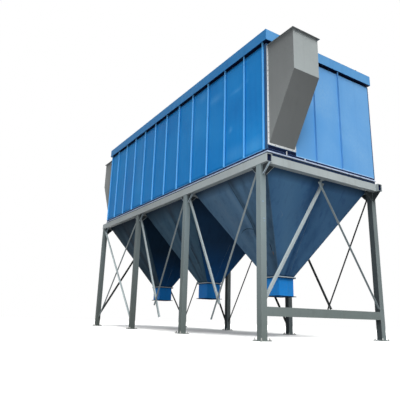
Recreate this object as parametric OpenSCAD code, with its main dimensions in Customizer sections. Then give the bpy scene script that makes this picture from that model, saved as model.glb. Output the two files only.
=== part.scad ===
// Pulse dust collector: a ribbed bag housing seated on a steel frame with three hoppers.
// Millimetres. X runs along the length and the near end is +X, the front is -Y, and Z is
// up from the ground. The origin is on the ground, under the middle of the collector.

/* [Frame] */
// Distance between column centres along the length
bay = 3450; // [3000:50:4200]
// Width over the outer faces of the columns
frame_w = 4200; // [3600:50:4800]
// Height of the ring beams above the ground
leg_h = 4000; // [3400:50:4600]
// Side of the square column tube, and width of the ring beam tube
col = 160; // [140:10:200]
// Wall of the column tube
col_wall = 8; // [5:1:12]
// Height of the ring beam tube
ring_h = 200; // [160:10:260]
// Wall of the ring beam tube
ring_wall = 8; // [5:1:12]
// Length of the ring beams past the near end beam
near_tail = 80; // [40:10:140]
// Length of the ring beams past the far columns
far_tail = 50; // [20:10:100]
// Height of the end tie beam above the ground
tie_z = 525; // [450:25:900]
// Height of the tie beam tube
tie_h = 200; // [140:10:240]
// Wall of the tie beam tube
tie_wall = 6; // [4:1:10]

/* [Base plates and gussets] */
// Width of the base plate past each column face
base_margin = 70; // [60:5:100]
// Thickness of the base plate
base_t = 20; // [12:1:30]
// Diameter of the anchor bolt holes
anchor_d = 26; // [18:1:32]
// Leg of the triangular gussets under the ring
gusset = 260; // [180:10:320]
// Thickness of the gussets
gusset_t = 10; // [6:1:14]

/* [Braces] */
// Leg of the brace angles in the long sides
brace_leg = 50; // [40:5:75]
// Thickness of the brace angles in the long sides
brace_t = 5; // [4:1:8]
// Leg of the brace angles across the width
cross_leg = 63; // [45:1:80]
// Thickness of the brace angles across the width
cross_t = 6; // [4:1:8]
// Height at which the braces of a V bay cross
v_cross_z = 880; // [700:20:1500]
// Length of the long V braces past the crossing
v_tail = 520; // [200:20:900]
// Share of the bay that the steep crosses at the back span
steep_reach = 0.71; // [0.6:0.01:0.9]
// Height at which brace feet meet the columns
foot_z = 350; // [150:25:450]
// Drop of the brace ends below the ring
brace_drop = 60; // [20:10:150]
// Drop of the crossings across the width below the beams
apex_drop = 200; // [120:10:320]
// Gap between the beams and the tails past those crossings
tail_gap = 70; // [40:5:110]
// Width of the hanger plates that carry those crossings
hanger_w = 50; // [40:5:100]

/* [Hoppers] */
// Thickness of the hopper plate
hopper_t = 6; // [4:1:10]
// Height of the hopper mouth above the ground
mouth_z = 1580; // [1400:20:2000]
// Inner side of the square outlet
outlet_in = 508; // [400:4:640]
// Thickness of the outlet plate
outlet_t = 6; // [4:1:10]
// Height of the outlet over its flanges
outlet_h = 520; // [300:10:600]
// Width of the outlet flanges past the outlet
outlet_flange = 50; // [40:2:70]
// Thickness of the outlet flanges
outlet_flange_t = 10; // [6:1:16]
// Diameter of the outlet flange holes
outlet_hole_d = 14; // [10:1:18]

/* [Hopper rim] */
// Gap at the weld seams of the hoppers and the rim
seam = 0.3; // [0.2:0.1:0.6]
// Distance from the outer face of the ring to the rim
seat_in = 120; // [90:5:140]
// Height of the rim
rim_h = 90; // [60:5:140]
// Thickness of the rim plates
rim_t = 8; // [5:1:12]
// Width of the upper rim flange
rim_flange = 70; // [50:5:100]
// Lap of the lower rim plate past the ring beams
rim_lap = 60; // [40:5:90]

/* [Housing] */
// Height of the housing foot frame
foot_h = 90; // [60:5:140]
// Width of the foot flange past the wall
foot_lip = 25; // [10:5:50]
// Thickness of the foot frame plates
foot_t = 10; // [6:1:14]
// Height of the housing walls
wall_h = 2860; // [2300:20:3400]
// Thickness of the wall sheet
wall_t = 5; // [3:1:8]
// Number of panels along the long walls
panels = 12; // [8:1:16]
// Depth of the ribs
rib_d = 50; // [30:5:70]
// Thickness of the ribs
rib_t = 10; // [6:1:16]
// Distance of the corner ribs from the corners
corner_rib = 110; // [60:10:200]
// Distance of the first end rib from the front corner
end_rib_first = 1640; // [1300:20:1900]
// Distance between the end ribs
end_rib_pitch = 975; // [700:25:1100]

/* [Roof] */
// Height of the recessed band between walls and fascia
slot_h = 70; // [40:5:120]
// Depth of the recessed band
slot_in = 40; // [20:5:60]
// Height of the roof fascia
fascia_h = 300; // [200:10:450]
// Overhang of the fascia past the walls
fascia_out = 60; // [50:5:120]
// Thickness of the fascia and roof sheet
roof_t = 5; // [3:1:8]
// Rows of roof covers along the length
cover_cols = 6; // [4:1:8]
// Height of the roof covers
cover_h = 60; // [40:5:90]
// Distance of the covers from the roof edges
cover_edge = 260; // [200:10:360]
// Width of the roof lane between the two cover rows, for the air header
header_lane = 700; // [600:20:900]
// Diameter of the compressed air header
header_d = 219; // [160:1:250]
// Wall of the header pipe and its end caps
header_wall = 8; // [5:1:12]
// Height of the header axis above the roof
header_z = 230; // [200:10:320]

/* [Lifting lugs] */
// Width of the lugs
lug_w = 120; // [80:10:180]
// Height of the lug eye above the roof
lug_eye_z = 60; // [50:5:90]
// Diameter of the lug eye
lug_eye_d = 40; // [24:2:50]
// Thickness of the lugs
lug_t = 16; // [10:1:25]

/* [Duct hoods] */
// Depth of the hoods past the end walls
hood_d = 900; // [500:20:1000]
// Width of the hoods
hood_w = 820; // [600:20:1100]
// Distance of the hoods from the front corner
hood_in = 60; // [50:5:120]
// Height of the hood foot above the foot frame
hood_foot = 150; // [100:10:400]
// Height of the fold above the foot frame
hood_fold = 1720; // [1300:20:1900]
// Distance of the hood top below the top of the wall
hood_drop = 60; // [20:10:200]
// Thickness of the hood sheet
hood_t = 4; // [3:1:6]
// Width of the hood flanges
hood_flange = 50; // [30:5:70]

/* [Hidden] */
$fn = 32;
bays = 3;
near_over = near_tail + col;
ring_l = bays * bay + col + near_over + far_tail;
ring_top = leg_h + ring_h;
face_y = frame_w / 2;
col_y = face_y - col / 2;
near_col_x = ring_l / 2 - near_over - col / 2;
base_side = col + 2 * base_margin;
anchor_off = col / 2 + base_margin / 2;
end_beam_x = near_col_x + col;
open_y = face_y - col;
near_brace_x = near_col_x + col / 2 - gusset_t / 2 - cross_leg;
near_cleat = cross_leg + gusset_t + hanger_w;
short_tail = 2 * brace_leg;
outlet_out = outlet_in + 2 * outlet_t;
flange_side = outlet_out + 2 * outlet_flange;
flange_pitch = outlet_out + outlet_flange;
body_l = ring_l - 2 * seat_in;
body_w = frame_w - 2 * seat_in;
foot_z0 = ring_top + rim_h;
wall_z0 = foot_z0 + foot_h;
wall_z1 = wall_z0 + wall_h;
fascia_z0 = wall_z1 + slot_h;
roof_z = fascia_z0 + fascia_h;
hood_y = -body_w / 2 + hood_in + hood_w / 2;
hood_top = wall_z1 - hood_drop;
cover_gap = 60;
saddle_t = 12;
valve_d = 110;
valve_l = 90;
stub_l = 30;
pipe_d = 48;
lug_edge = 60;
lug_back = 420;
// Ribs under the lugs, counted from the far end
lug_ribs = [4, 6, 9];
frame_grey = "darkgray";
hopper_blue = "steelblue";
bright_blue = "dodgerblue";

// Place of column k along the length, counted from the near end
function col_x(k) = near_col_x - (k - 1) * bay;
// Place of cross beam k: the near one stands outside the columns
function beam_x(k) = k == 1 ? end_beam_x : col_x(k);
// Ends of hopper k along the length
function hopper_x0(k) = beam_x(k + 1) + col / 2;
function hopper_x1(k) = beam_x(k) - col / 2;
function hopper_mid(k) = (hopper_x0(k) + hopper_x1(k)) / 2;

// Square column tube with its cap, base plate and anchor holes
module column(x, y) {
    translate([x, y, 0]) color(frame_grey) difference() {
        union() {
            translate([-base_side / 2, -base_side / 2, 0]) cube([base_side, base_side, base_t]);
            translate([-col / 2, -col / 2, 0]) cube([col, col, leg_h]);
        }
        translate([-col / 2 + col_wall, -col / 2 + col_wall, base_t])
            cube([col - 2 * col_wall, col - 2 * col_wall, leg_h - base_t - col_wall]);
        for (sx = [-1, 1], sy = [-1, 1])
            translate([sx * anchor_off, sy * anchor_off, -1]) cylinder(d = anchor_d, h = base_t + 2);
    }
}

// Rectangular tube along X, from x0 to x1, with open ends
module tube_x(x0, x1, y, z, w, h, t) {
    translate([x0, y - w / 2, z]) difference() {
        cube([x1 - x0, w, h]);
        translate([-1, t, t]) cube([x1 - x0 + 2, w - 2 * t, h - 2 * t]);
    }
}

// Rectangular tube along Y, from y0 to y1, with open ends
module tube_y(y0, y1, x, z, w, h, t) {
    translate([x - w / 2, y0, z]) difference() {
        cube([w, y1 - y0, h]);
        translate([t, -1, t]) cube([w - 2 * t, y1 - y0 + 2, h - 2 * t]);
    }
}

module ring_beam(side) {
    color(frame_grey) tube_x(-ring_l / 2, ring_l / 2, side * col_y, leg_h, col, ring_h, ring_wall);
}

module cross_beam(k) {
    color(frame_grey) tube_y(-open_y, open_y, beam_x(k), leg_h, col, ring_h, ring_wall);
}

module tie_beam() {
    color(frame_grey) tube_y(-open_y, open_y, near_col_x, tie_z, col, tie_h, tie_wall);
}

// Triangular plate in the XZ plane, its corner at the origin, reaching to +X and down,
// with a strip of width lap past the corner
module gusset_plate(reach, lap) {
    rotate([90, 0, 0]) translate([0, 0, -gusset_t / 2]) linear_extrude(gusset_t)
        polygon([[-lap, 0], [reach, 0], [reach, -gusset_t], [gusset_t, -gusset], [-lap, -gusset]]);
}

// Gussets between the columns and the ring: along the length, and across it. The ones
// across the near end stand on the outer faces of the columns, under the end beam.
module column_gussets() {
    color(frame_grey) for (k = [1:bays + 1], side = [-1, 1])
        translate([col_x(k), side * col_y, leg_h]) {
            if (k <= bays) translate([-col / 2, 0, 0]) mirror([1, 0, 0]) gusset_plate(gusset, 0);
            translate([col / 2, 0, 0]) gusset_plate(k > 1 ? gusset : min(gusset, near_over), 0);
            translate([k > 1 ? 0 : col / 2 + gusset_t / 2, -side * col / 2, 0])
                rotate([0, 0, -side * 90]) gusset_plate(gusset, k > 1 ? 0 : 2 * gusset_t);
        }
}

// Angle bar in the XZ plane from p to q, its flat leg on the +Y side of y = 0 and its
// other leg turned away from the plane
module brace_bar(p, q, leg, t) {
    run = norm(q - p);
    translate([p[0], 0, p[1]]) rotate([0, -atan2(q[1] - p[1], q[0] - p[0]), 0]) {
        translate([0, 0, -leg / 2]) cube([run, t, leg]);
        translate([0, 0, leg / 2 - t]) cube([run, leg, t]);
    }
}

// Two angle bars on the two sides of the plane of the gussets, trimmed between two posts that
// stand at u = 0 and u = span, and between two heights
module brace_pair(span, low, high, bar_a, bar_b, leg, t) {
    color(frame_grey) intersection() {
        union() {
            translate([0, gusset_t / 2, 0]) brace_bar(bar_a[0], bar_a[1], leg, t);
            mirror([0, 1, 0]) translate([0, gusset_t / 2, 0]) brace_bar(bar_b[0], bar_b[1], leg, t);
        }
        translate([0, -2 * leg, low]) cube([span, 4 * leg, high - low]);
    }
}

// Packing plate between two bars, in the gusset plane, centred at [u, z]
module pack_plate(u, z, w, h) {
    translate([u - w / 2, -gusset_t / 2, z - h / 2]) cube([w, gusset_t, h]);
}

// V brace: both bars fall from the column tops and cross low in the bay. Each bar runs on
// past the crossing: the one from the far column (at u = 0) first.
module v_braces(far_tail_l, near_tail_l) {
    span = bay - col;
    top = leg_h - brace_drop;
    mid = [span / 2, v_cross_z];
    fall = (mid - [0, top]) / norm(mid - [0, top]);
    rise = [-fall[0], fall[1]];
    brace_pair(span, 0, leg_h, [[0, top], mid + fall * far_tail_l],
        [[span, top], mid + rise * near_tail_l], brace_leg, brace_t);
}

// Cross of two bars that rise from the column feet over a share of the bay
module x_braces(reach) {
    span = bay - col;
    lean = [reach * span, x_top(reach) - foot_z];
    ends = lean / norm(lean) * 2 * brace_leg;
    a = [0, foot_z] - ends;
    b = [0, foot_z] + lean + ends;
    brace_pair(span, 0, leg_h, [a, b], [[span - a[0], a[1]], [span - b[0], b[1]]],
        brace_leg, brace_t);
}

// Height of the upper ends of a cross: at the column below the ring, or at the ring
function x_top(reach) = reach < 1 ? leg_h : leg_h - brace_drop;
// Height at which a cross of that reach meets
function x_mid(reach) = foot_z + (x_top(reach) - foot_z) / 2 / reach;

// Chevron across one end: feet at the columns, and both bars run on past their crossing
module chevron(low) {
    span = 2 * open_y;
    foot = [-cross_leg, max(low, foot_z) + cross_leg / 2];
    mid = [span / 2, leg_h - apex_drop];
    end = mid + (mid - foot) * apex_drop / (mid[1] - foot[1]);
    brace_pair(span, low, leg_h - tail_gap, [foot, end],
        [[span - foot[0], foot[1]], [span - end[0], end[1]]], cross_leg, cross_t);
}

module bay_place(k, side) {
    translate([col_x(k + 1) + col / 2, side * col_y, 0]) children();
}

// The chevron of the near end stands flush with the outer faces of the columns
module line_place(k) {
    translate([k > 1 ? col_x(k) : near_brace_x, -open_y, 0]) rotate([0, 0, 90]) children();
}

// Hanger plate from a beam, or from height top, down past the crossing of a chevron
module hanger(top) {
    h = top - leg_h + apex_drop + cross_leg;
    pack_plate(open_y, top - h / 2, hanger_w, h);
}

// Packing plates where the side braces cross, hangers for the chevrons, and the cleat that
// carries the near hanger from the end beam
module brace_plates() {
    w = 1.6 * brace_leg;
    mid = (bay - col) / 2;
    color(frame_grey) {
        for (k = [1, 2]) bay_place(k, -1) pack_plate(mid, v_cross_z, w, w);
        bay_place(3, -1) pack_plate(mid, x_mid(1), w, w);
        bay_place(1, 1) pack_plate(mid, v_cross_z, w, w);
        for (k = [2, 3]) bay_place(k, 1) pack_plate(mid, x_mid(steep_reach), w, w);
        line_place(bays + 1) hanger(leg_h);
        line_place(1) hanger(leg_h - gusset_t);
        translate([near_brace_x - gusset_t / 2, -hanger_w, leg_h - gusset_t])
            cube([near_cleat, 2 * hanger_w, gusset_t]);
    }
}

// Hopper plate from a square mouth to its upper edge, both given as half length and distance
// from the middle, its mitred ends meeting those of the plates beside it
module hopper_plate(mouth, top_l, top_y, h) {
    top_t = hopper_t / sin(atan2(h, top_y - mouth));
    edges = [[mouth, mouth, outlet_t, 0], [top_l, top_y, top_t, h]];
    points = [for (e = edges, inset = [0, e[2]], side = inset == 0 ? [-1, 1] : [1, -1])
        [side * (e[0] - seam - inset), e[1] - inset, e[3]]];
    polyhedron(points, [[3, 2, 1, 0], [4, 5, 6, 7], [0, 1, 5, 4], [2, 3, 7, 6], [1, 2, 6, 5],
        [3, 0, 4, 7]]);
}

// Hopper: four plates that hang inside the ring and stand on a drilled flange at the mouth
module hopper(k) {
    l = (hopper_x1(k) - hopper_x0(k)) / 2;
    mouth = outlet_out / 2;
    plate_z = outlet_flange_t + seam;
    h = ring_top - mouth_z - plate_z;
    color(hopper_blue) translate([hopper_mid(k), 0, mouth_z]) {
        difference() {
            square_frame(flange_side, outlet_in, outlet_flange_t);
            flange_holes();
        }
        for (a = [0, 180]) translate([0, 0, plate_z]) {
            rotate([0, 0, a]) hopper_plate(mouth, l, open_y, h);
            rotate([0, 0, a + 90]) hopper_plate(mouth, open_y, l, h);
        }
    }
}

// Holes through the corners of the outlet flanges, past the height of the outlet both ways
module flange_holes() {
    for (sx = [-1, 1], sy = [-1, 1])
        translate([sx * flange_pitch / 2, sy * flange_pitch / 2, -1])
            cylinder(d = outlet_hole_d, h = outlet_h + 2);
}

module square_frame(outer, inner, t) {
    difference() {
        translate([-outer / 2, -outer / 2, 0]) cube([outer, outer, t]);
        translate([-inner / 2, -inner / 2, -1]) cube([inner, inner, t + 2]);
    }
}

// Outlet box with its two drilled flanges
module outlet(k) {
    translate([hopper_mid(k), 0, mouth_z - outlet_h]) color(bright_blue) difference() {
        union() {
            square_frame(flange_side, outlet_in, outlet_flange_t);
            square_frame(outlet_out, outlet_in, outlet_h);
            translate([0, 0, outlet_h - outlet_flange_t])
                square_frame(flange_side, outlet_in, outlet_flange_t);
        }
        flange_holes();
    }
}

// Flat frame l by w, with bars b wide
module flat_frame(l, w, b, t) {
    difference() {
        translate([-l / 2, -w / 2, 0]) cube([l, w, t]);
        translate([-l / 2 + b, -w / 2 + b, -1]) cube([l - 2 * b, w - 2 * b, t + 2]);
    }
}

// Rim length l along X, its outer face at y = 0: a lower plate on the ring, an upright and an
// upper flange, with mitred ends
module rim_side(l, lap) {
    end = l / 2 - seam;
    intersection() {
        translate([-l / 2, 0, 0]) {
            translate([0, -lap, 0]) cube([l, lap, rim_t]);
            translate([0, -rim_t, 0]) cube([l, rim_t, rim_h]);
            translate([0, -rim_flange, rim_h - rim_t]) cube([l, rim_flange, rim_t]);
        }
        linear_extrude(rim_h) polygon([[-end, 0], [end, 0], [end - lap, -lap], [lap - end, -lap]]);
    }
}

// Rim that carries the housing, with a strip on each cross beam between two hoppers
module hopper_rim() {
    lap = near_over - seat_in + rim_lap;
    strip_l = body_w - 2 * (lap + seam);
    color(hopper_blue) translate([0, 0, ring_top]) {
        for (a = [0, 180]) rotate([0, 0, a]) {
            translate([0, body_w / 2, 0]) rim_side(body_l, lap);
            translate([body_l / 2, 0, 0]) rotate([0, 0, -90]) rim_side(body_w, lap);
        }
        for (k = [2:bays]) translate([col_x(k) - col / 2 - rim_lap, -strip_l / 2, 0])
            cube([col + 2 * rim_lap, strip_l, rim_t]);
    }
}

// Foot frame of the housing: an upright band on a flange that stands proud
module foot_frame() {
    color("midnightblue") translate([0, 0, foot_z0]) {
        flat_frame(body_l + 2 * foot_lip, body_w + 2 * foot_lip, foot_lip + rim_flange, foot_t);
        flat_frame(body_l, body_w, foot_t, foot_h);
    }
}

// Upright ribs along a wall, each a flat bar from the foot flange to the fascia
module rib(x) {
    translate([x - rib_t / 2, 0, wall_z0]) cube([rib_t, rib_d, fascia_z0 - wall_z0]);
}

// Long wall sheet with its ribs
module long_wall(side) {
    pitch = body_l / panels;
    color(bright_blue) flip_y(side) translate([0, body_w / 2, 0]) {
        translate([-body_l / 2, -wall_t, wall_z0]) cube([body_l, wall_t, wall_h]);
        for (i = [1:panels - 1]) rib(-body_l / 2 + i * pitch);
        for (s = [-1, 1]) rib(s * (body_l / 2 - corner_rib));
    }
}

// End wall sheet with two ribs beside the hood, and the duct opening behind the hood
module end_wall(side) {
    inner_w = body_w - 2 * wall_t;
    port_w = hood_w - 4 * hood_flange;
    port_h = hood_top - wall_z0 - hood_fold - 2 * hood_flange;
    color(bright_blue) flip_x(side) translate([body_l / 2, 0, 0]) {
        difference() {
            translate([-wall_t, -inner_w / 2, wall_z0]) cube([wall_t, inner_w, wall_h]);
            translate([-wall_t - 1, hood_y - port_w / 2, wall_z0 + hood_fold])
                cube([wall_t + 2, port_w, port_h]);
        }
        for (y = [end_rib_first, end_rib_first + end_rib_pitch])
            translate([0, -body_w / 2 + y, 0]) rotate([0, 0, -90]) rib(0);
    }
}

// Set-back band between the walls and the fascia, on a flange over the walls
module top_frame() {
    color("midnightblue") translate([0, 0, wall_z1]) {
        flat_frame(body_l, body_w, slot_in + foot_t, foot_t);
        flat_frame(body_l - 2 * slot_in, body_w - 2 * slot_in, foot_t, slot_h);
    }
}

module roof_fascia() {
    l = body_l + 2 * fascia_out;
    w = body_w + 2 * fascia_out;
    color(bright_blue) translate([0, 0, fascia_z0]) {
        flat_frame(l, w, roof_t, fascia_h);
        flat_frame(l, w, fascia_out + slot_in + foot_t, roof_t);
    }
}

module roof_deck() {
    l = body_l + 2 * fascia_out - 2 * roof_t;
    w = body_w + 2 * fascia_out - 2 * roof_t;
    color(bright_blue) translate([-l / 2, -w / 2, roof_z - roof_t]) cube([l, w, roof_t]);
}

// Place and size of the lift-off covers, in two rows beside the header lane
function cover_l() = (body_l - 2 * cover_edge - (cover_cols - 1) * cover_gap) / cover_cols;
function cover_w() = (body_w - 2 * cover_edge - header_lane) / 2;
function cover_x(i) = -body_l / 2 + cover_edge + cover_l() / 2 + i * (cover_l() + cover_gap);

module roof_covers() {
    color(bright_blue) for (i = [0:cover_cols - 1], side = [-1, 1])
        translate([cover_x(i), side * (header_lane + cover_w()) / 2, roof_z])
            difference() {
                translate([-cover_l() / 2, -cover_w() / 2, 0]) cube([cover_l(), cover_w(), cover_h]);
                translate([-cover_l() / 2 + roof_t, -cover_w() / 2 + roof_t, -1])
                    cube([cover_l() - 2 * roof_t, cover_w() - 2 * roof_t, cover_h - roof_t + 1]);
            }
}

// Compressed air header on saddles along the middle of the roof, with a stub for each valve
module air_header() {
    l = body_l - 2 * cover_edge;
    saddle_w = 0.6 * header_d;
    color(bright_blue) translate([0, 0, roof_z]) {
        difference() {
            union() {
                header_pipe(l, header_d);
                for (i = [0:cover_cols]) {
                    x = -l / 2 + saddle_t + i * (l - 2 * saddle_t) / cover_cols;
                    translate([x - saddle_t / 2, -saddle_w / 2, 0])
                        cube([saddle_t, saddle_w, header_z]);
                }
                for (i = [0:cover_cols - 1], side = [0, 180]) translate([cover_x(i), 0, header_z])
                    rotate([0, 0, side]) rotate([-90, 0, 0])
                        cylinder(d = pipe_d, h = header_d / 2 + stub_l);
            }
            header_pipe(l - 2 * header_wall, header_d - 2 * header_wall);
        }
    }
}

module header_pipe(l, d) {
    translate([-l / 2, 0, header_z]) rotate([0, 90, 0]) cylinder(d = d, h = l);
}

// Round pulse valve at the end of a stub, with its blow pipe down to the roof
module pulse_valve() {
    translate([0, header_d / 2 + stub_l, 0]) {
        translate([0, 0, header_z]) rotate([-90, 0, 0]) cylinder(d = valve_d, h = valve_l);
        translate([0, valve_l / 2, 0]) cylinder(d = pipe_d, h = header_z);
    }
}

module pulse_valves() {
    color("silver") for (i = [0:cover_cols - 1], side = [0, 180])
        translate([cover_x(i), 0, roof_z]) rotate([0, 0, side]) pulse_valve();
}

// Lug plate in the XZ plane with a round eye
module lug() {
    r = lug_w / 2;
    rotate([90, 0, 0]) translate([0, 0, -lug_t / 2]) linear_extrude(lug_t) difference() {
        union() {
            translate([-r, 0]) square([lug_w, lug_eye_z]);
            translate([0, lug_eye_z]) circle(r);
        }
        translate([0, lug_eye_z]) circle(d = lug_eye_d);
        translate([-lug_w, -lug_w]) square([2 * lug_w, lug_w]);
    }
}

// Lugs over ribs of the long walls, and one over each end
module lifting_lugs() {
    pitch = body_l / panels;
    edge = body_w / 2 - lug_edge;
    color(bright_blue) translate([0, 0, roof_z]) {
        for (n = lug_ribs, side = [-1, 1]) translate([-body_l / 2 + n * pitch, side * edge, 0]) lug();
        for (side = [-1, 1]) translate([side * (body_l / 2 - lug_edge), body_w / 2 - lug_back, 0])
            rotate([0, 0, 90]) lug();
    }
}

// Duct hood on an end wall: an upright outer face, a long slope back to the wall, and an
// open flanged top. Its profile in the XZ plane has its corner at the wall.
module hood_body(side_t, w) {
    h = hood_top - wall_z0;
    rotate([90, 0, 0]) linear_extrude(w, center = true)
        polygon([[-side_t, hood_foot + side_t], [-side_t, h + side_t], [hood_d - side_t, h + side_t],
            [hood_d - side_t, hood_fold + side_t / 2]]);
}

module duct_hood(side) {
    h = hood_top - wall_z0;
    full_w = hood_w + 2 * hood_flange;
    color("gray") flip_x(side) translate([body_l / 2, hood_y, wall_z0]) difference() {
        union() {
            hood_body(0, hood_w);
            translate([0, -full_w / 2, hood_foot - hood_flange])
                cube([hood_t, full_w, h - hood_foot + hood_flange]);
            translate([0, -full_w / 2, h - hood_t]) cube([hood_d + hood_flange, full_w, hood_t]);
        }
        hood_body(hood_t, hood_w - 2 * hood_t);
    }
}

module flip_x(side) {
    if (side > 0) children();
    else mirror([1, 0, 0]) children();
}

module flip_y(side) {
    if (side > 0) children();
    else mirror([0, 1, 0]) children();
}

column(col_x(1), -col_y);  // front_column_1
column(col_x(2), -col_y);  // front_column_2
column(col_x(3), -col_y);  // front_column_3
column(col_x(4), -col_y);  // front_column_4
column(col_x(1), col_y);  // back_column_1
column(col_x(2), col_y);  // back_column_2
column(col_x(3), col_y);  // back_column_3
column(col_x(4), col_y);  // back_column_4
ring_beam(-1);  // front_ring_beam
ring_beam(1);  // back_ring_beam
cross_beam(1);  // near_end_beam
for (k = [2:bays + 1]) cross_beam(k);  // cross_beams
tie_beam();
column_gussets();
bay_place(1, -1) v_braces(short_tail, v_tail);  // front_braces_1
bay_place(2, -1) v_braces(v_tail, short_tail);  // front_braces_2
bay_place(3, -1) x_braces(1);  // front_braces_3
bay_place(1, 1) v_braces(short_tail, short_tail);  // back_braces_1
bay_place(2, 1) x_braces(steep_reach);  // back_braces_2
bay_place(3, 1) x_braces(steep_reach);  // back_braces_3
line_place(1) chevron(tie_z + tie_h);  // near_end_braces
line_place(bays + 1) chevron(0);  // far_end_braces
brace_plates();
hopper(1);  // hopper_1
hopper(2);  // hopper_2
hopper(3);  // hopper_3
outlet(1);  // outlet_1
outlet(2);  // outlet_2
outlet(3);  // outlet_3
hopper_rim();
foot_frame();
long_wall(-1);  // front_wall
long_wall(1);  // back_wall
end_wall(1);  // near_end_wall
end_wall(-1);  // far_end_wall
top_frame();
roof_fascia();
roof_deck();
roof_covers();
air_header();
pulse_valves();
lifting_lugs();
duct_hood(1);  // near_duct_hood
duct_hood(-1);  // far_duct_hood
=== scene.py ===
import math

import bpy
import numpy as np
from mathutils import Matrix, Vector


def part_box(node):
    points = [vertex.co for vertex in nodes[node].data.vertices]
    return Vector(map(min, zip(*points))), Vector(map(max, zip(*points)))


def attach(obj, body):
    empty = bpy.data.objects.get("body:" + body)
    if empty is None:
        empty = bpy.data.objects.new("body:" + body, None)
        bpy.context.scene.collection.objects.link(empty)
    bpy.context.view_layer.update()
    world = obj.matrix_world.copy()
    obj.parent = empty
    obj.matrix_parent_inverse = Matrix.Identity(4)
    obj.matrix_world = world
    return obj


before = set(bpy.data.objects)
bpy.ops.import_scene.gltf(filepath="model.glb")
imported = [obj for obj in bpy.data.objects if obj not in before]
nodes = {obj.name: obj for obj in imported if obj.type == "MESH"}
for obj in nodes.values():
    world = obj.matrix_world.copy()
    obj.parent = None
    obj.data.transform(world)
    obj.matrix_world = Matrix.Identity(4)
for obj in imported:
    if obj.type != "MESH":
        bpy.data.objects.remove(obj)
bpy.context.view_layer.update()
print("stage: frame loaded,", len(nodes), "nodes")


# Shader helpers. Every pattern reads Object coordinates, in metres.

def addNode(tree, kind, **settings):
    made = tree.nodes.new(kind)
    for key, value in settings.items():
        setattr(made, key, value)
    return made


def feed(tree, socket, value):
    # Joins a socket to another one, or sets it to a plain value
    if isinstance(value, bpy.types.NodeSocket):
        tree.links.new(value, socket)
    else:
        socket.default_value = value


def noise(tree, place, scale, detail=3.0, stretch=(1, 1, 1), distortion=0.0):
    turned = addNode(tree, "ShaderNodeMapping")
    turned.inputs["Scale"].default_value = stretch
    feed(tree, turned.inputs["Vector"], place)
    made = addNode(tree, "ShaderNodeTexNoise")
    feed(tree, made.inputs["Vector"], turned.outputs[0])
    made.inputs["Scale"].default_value = scale
    made.inputs["Detail"].default_value = detail
    made.inputs["Distortion"].default_value = distortion
    return made.outputs[0]


def spread(tree, value, low, high, outLow=0.0, outHigh=1.0):
    # Straight-line map of low..high to outLow..outHigh, held at both ends
    made = addNode(tree, "ShaderNodeMapRange", clamp=True)
    feed(tree, made.inputs["Value"], value)
    for key, limit in (("From Min", low), ("From Max", high), ("To Min", outLow), ("To Max", outHigh)):
        made.inputs[key].default_value = limit
    return made.outputs["Result"]


def combine(tree, operation, a, b):
    made = addNode(tree, "ShaderNodeMath", operation=operation)
    feed(tree, made.inputs[0], a)
    feed(tree, made.inputs[1], b)
    return made.outputs[0]


def times(tree, a, b):
    return combine(tree, "MULTIPLY", a, b)


def tint(tree, color, amount, tone):
    # color * (1 - amount) + tone * amount
    made = addNode(tree, "ShaderNodeMix", data_type="RGBA")
    feed(tree, made.inputs[0], amount)
    feed(tree, made.inputs[6], color if isinstance(color, bpy.types.NodeSocket) else (*color, 1.0))
    feed(tree, made.inputs[7], (*tone, 1.0))
    return made.outputs[2]


def heightOf(tree, vector):
    split = addNode(tree, "ShaderNodeSeparateXYZ")
    tree.links.new(vector, split.inputs[0])
    return split.outputs["Z"]


def addBump(tree, height, strength, distance, normal=None):
    bump = addNode(tree, "ShaderNodeBump")
    bump.inputs["Strength"].default_value = strength
    bump.inputs["Distance"].default_value = distance
    tree.links.new(height, bump.inputs["Height"])
    if normal is not None:
        tree.links.new(normal, bump.inputs["Normal"])
    return bump.outputs[0]


def newMaterial(name):
    material = bpy.data.materials.new(name)
    material.use_nodes = True
    tree = material.node_tree
    place = addNode(tree, "ShaderNodeTexCoord").outputs["Object"]
    return material, tree, tree.nodes["Principled BSDF"], place


# Painted steel. Scales are in waves per metre, and each pair is where a mask begins and ends.

weather = dict(
    cloudDetail=4.0, cloudTwist=0.6, cloudStep=(0.35, 0.65), grainScale=14.0, grainDetail=6.0,
    runScale=7.0, runDetail=4.0, runStretch=(1, 1, 0.06), runStep=(0.52, 0.78), fineScale=60.0,
    patchClouds=(0.42, 0.72), patchGrain=(0.3, 0.7), upStep=(0.35, 0.95),
    speckGrain=(0.62, 0.72), speckClouds=(0.45, 0.6), rustTone=(0.17, 0.07, 0.03),
    edgeSamples=4, edgeStep=(0.99, 0.8), edgeFine=(0.35, 0.6), bandGrain=(0.3, 0.5, 0.6, 1.0),
    stainShadeRuns=(0.3, 0.6, 0.65, 1.0), sootShadeMost=0.85, glossClouds=(0.3, 0.7), glossier=0.07,
    duller=0.09, dustRoughness=0.35, dentDetail=2.0, dentDepth=0.05, peelDepth=0.002)

# What a paint has when it names nothing else
usualPaint = dict(
    cloudScale=0.45, runs=0.25, dusty=0.3, dustTop=0.45, rust=0.1, roughness=0.55, specular=0.05,
    edge=0.0, edgeWidth=0.008, dents=0.05, dentScale=1.3, peel=0.12)


def edgeWearAndHighlight(tree, normal, fine, look):
    # Mask where the rounded normal leaves the true one, broken up by the fine noise
    rounded = addNode(tree, "ShaderNodeBevel", samples=weather["edgeSamples"])
    rounded.inputs["Radius"].default_value = look["edgeWidth"]
    agree = addNode(tree, "ShaderNodeVectorMath", operation="DOT_PRODUCT")
    tree.links.new(rounded.outputs[0], agree.inputs[0])
    tree.links.new(normal, agree.inputs[1])
    edge = spread(tree, agree.outputs["Value"], *weather["edgeStep"])
    return times(tree, edge, spread(tree, fine, *weather["edgeFine"], 0.0, look["edge"]))


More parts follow.
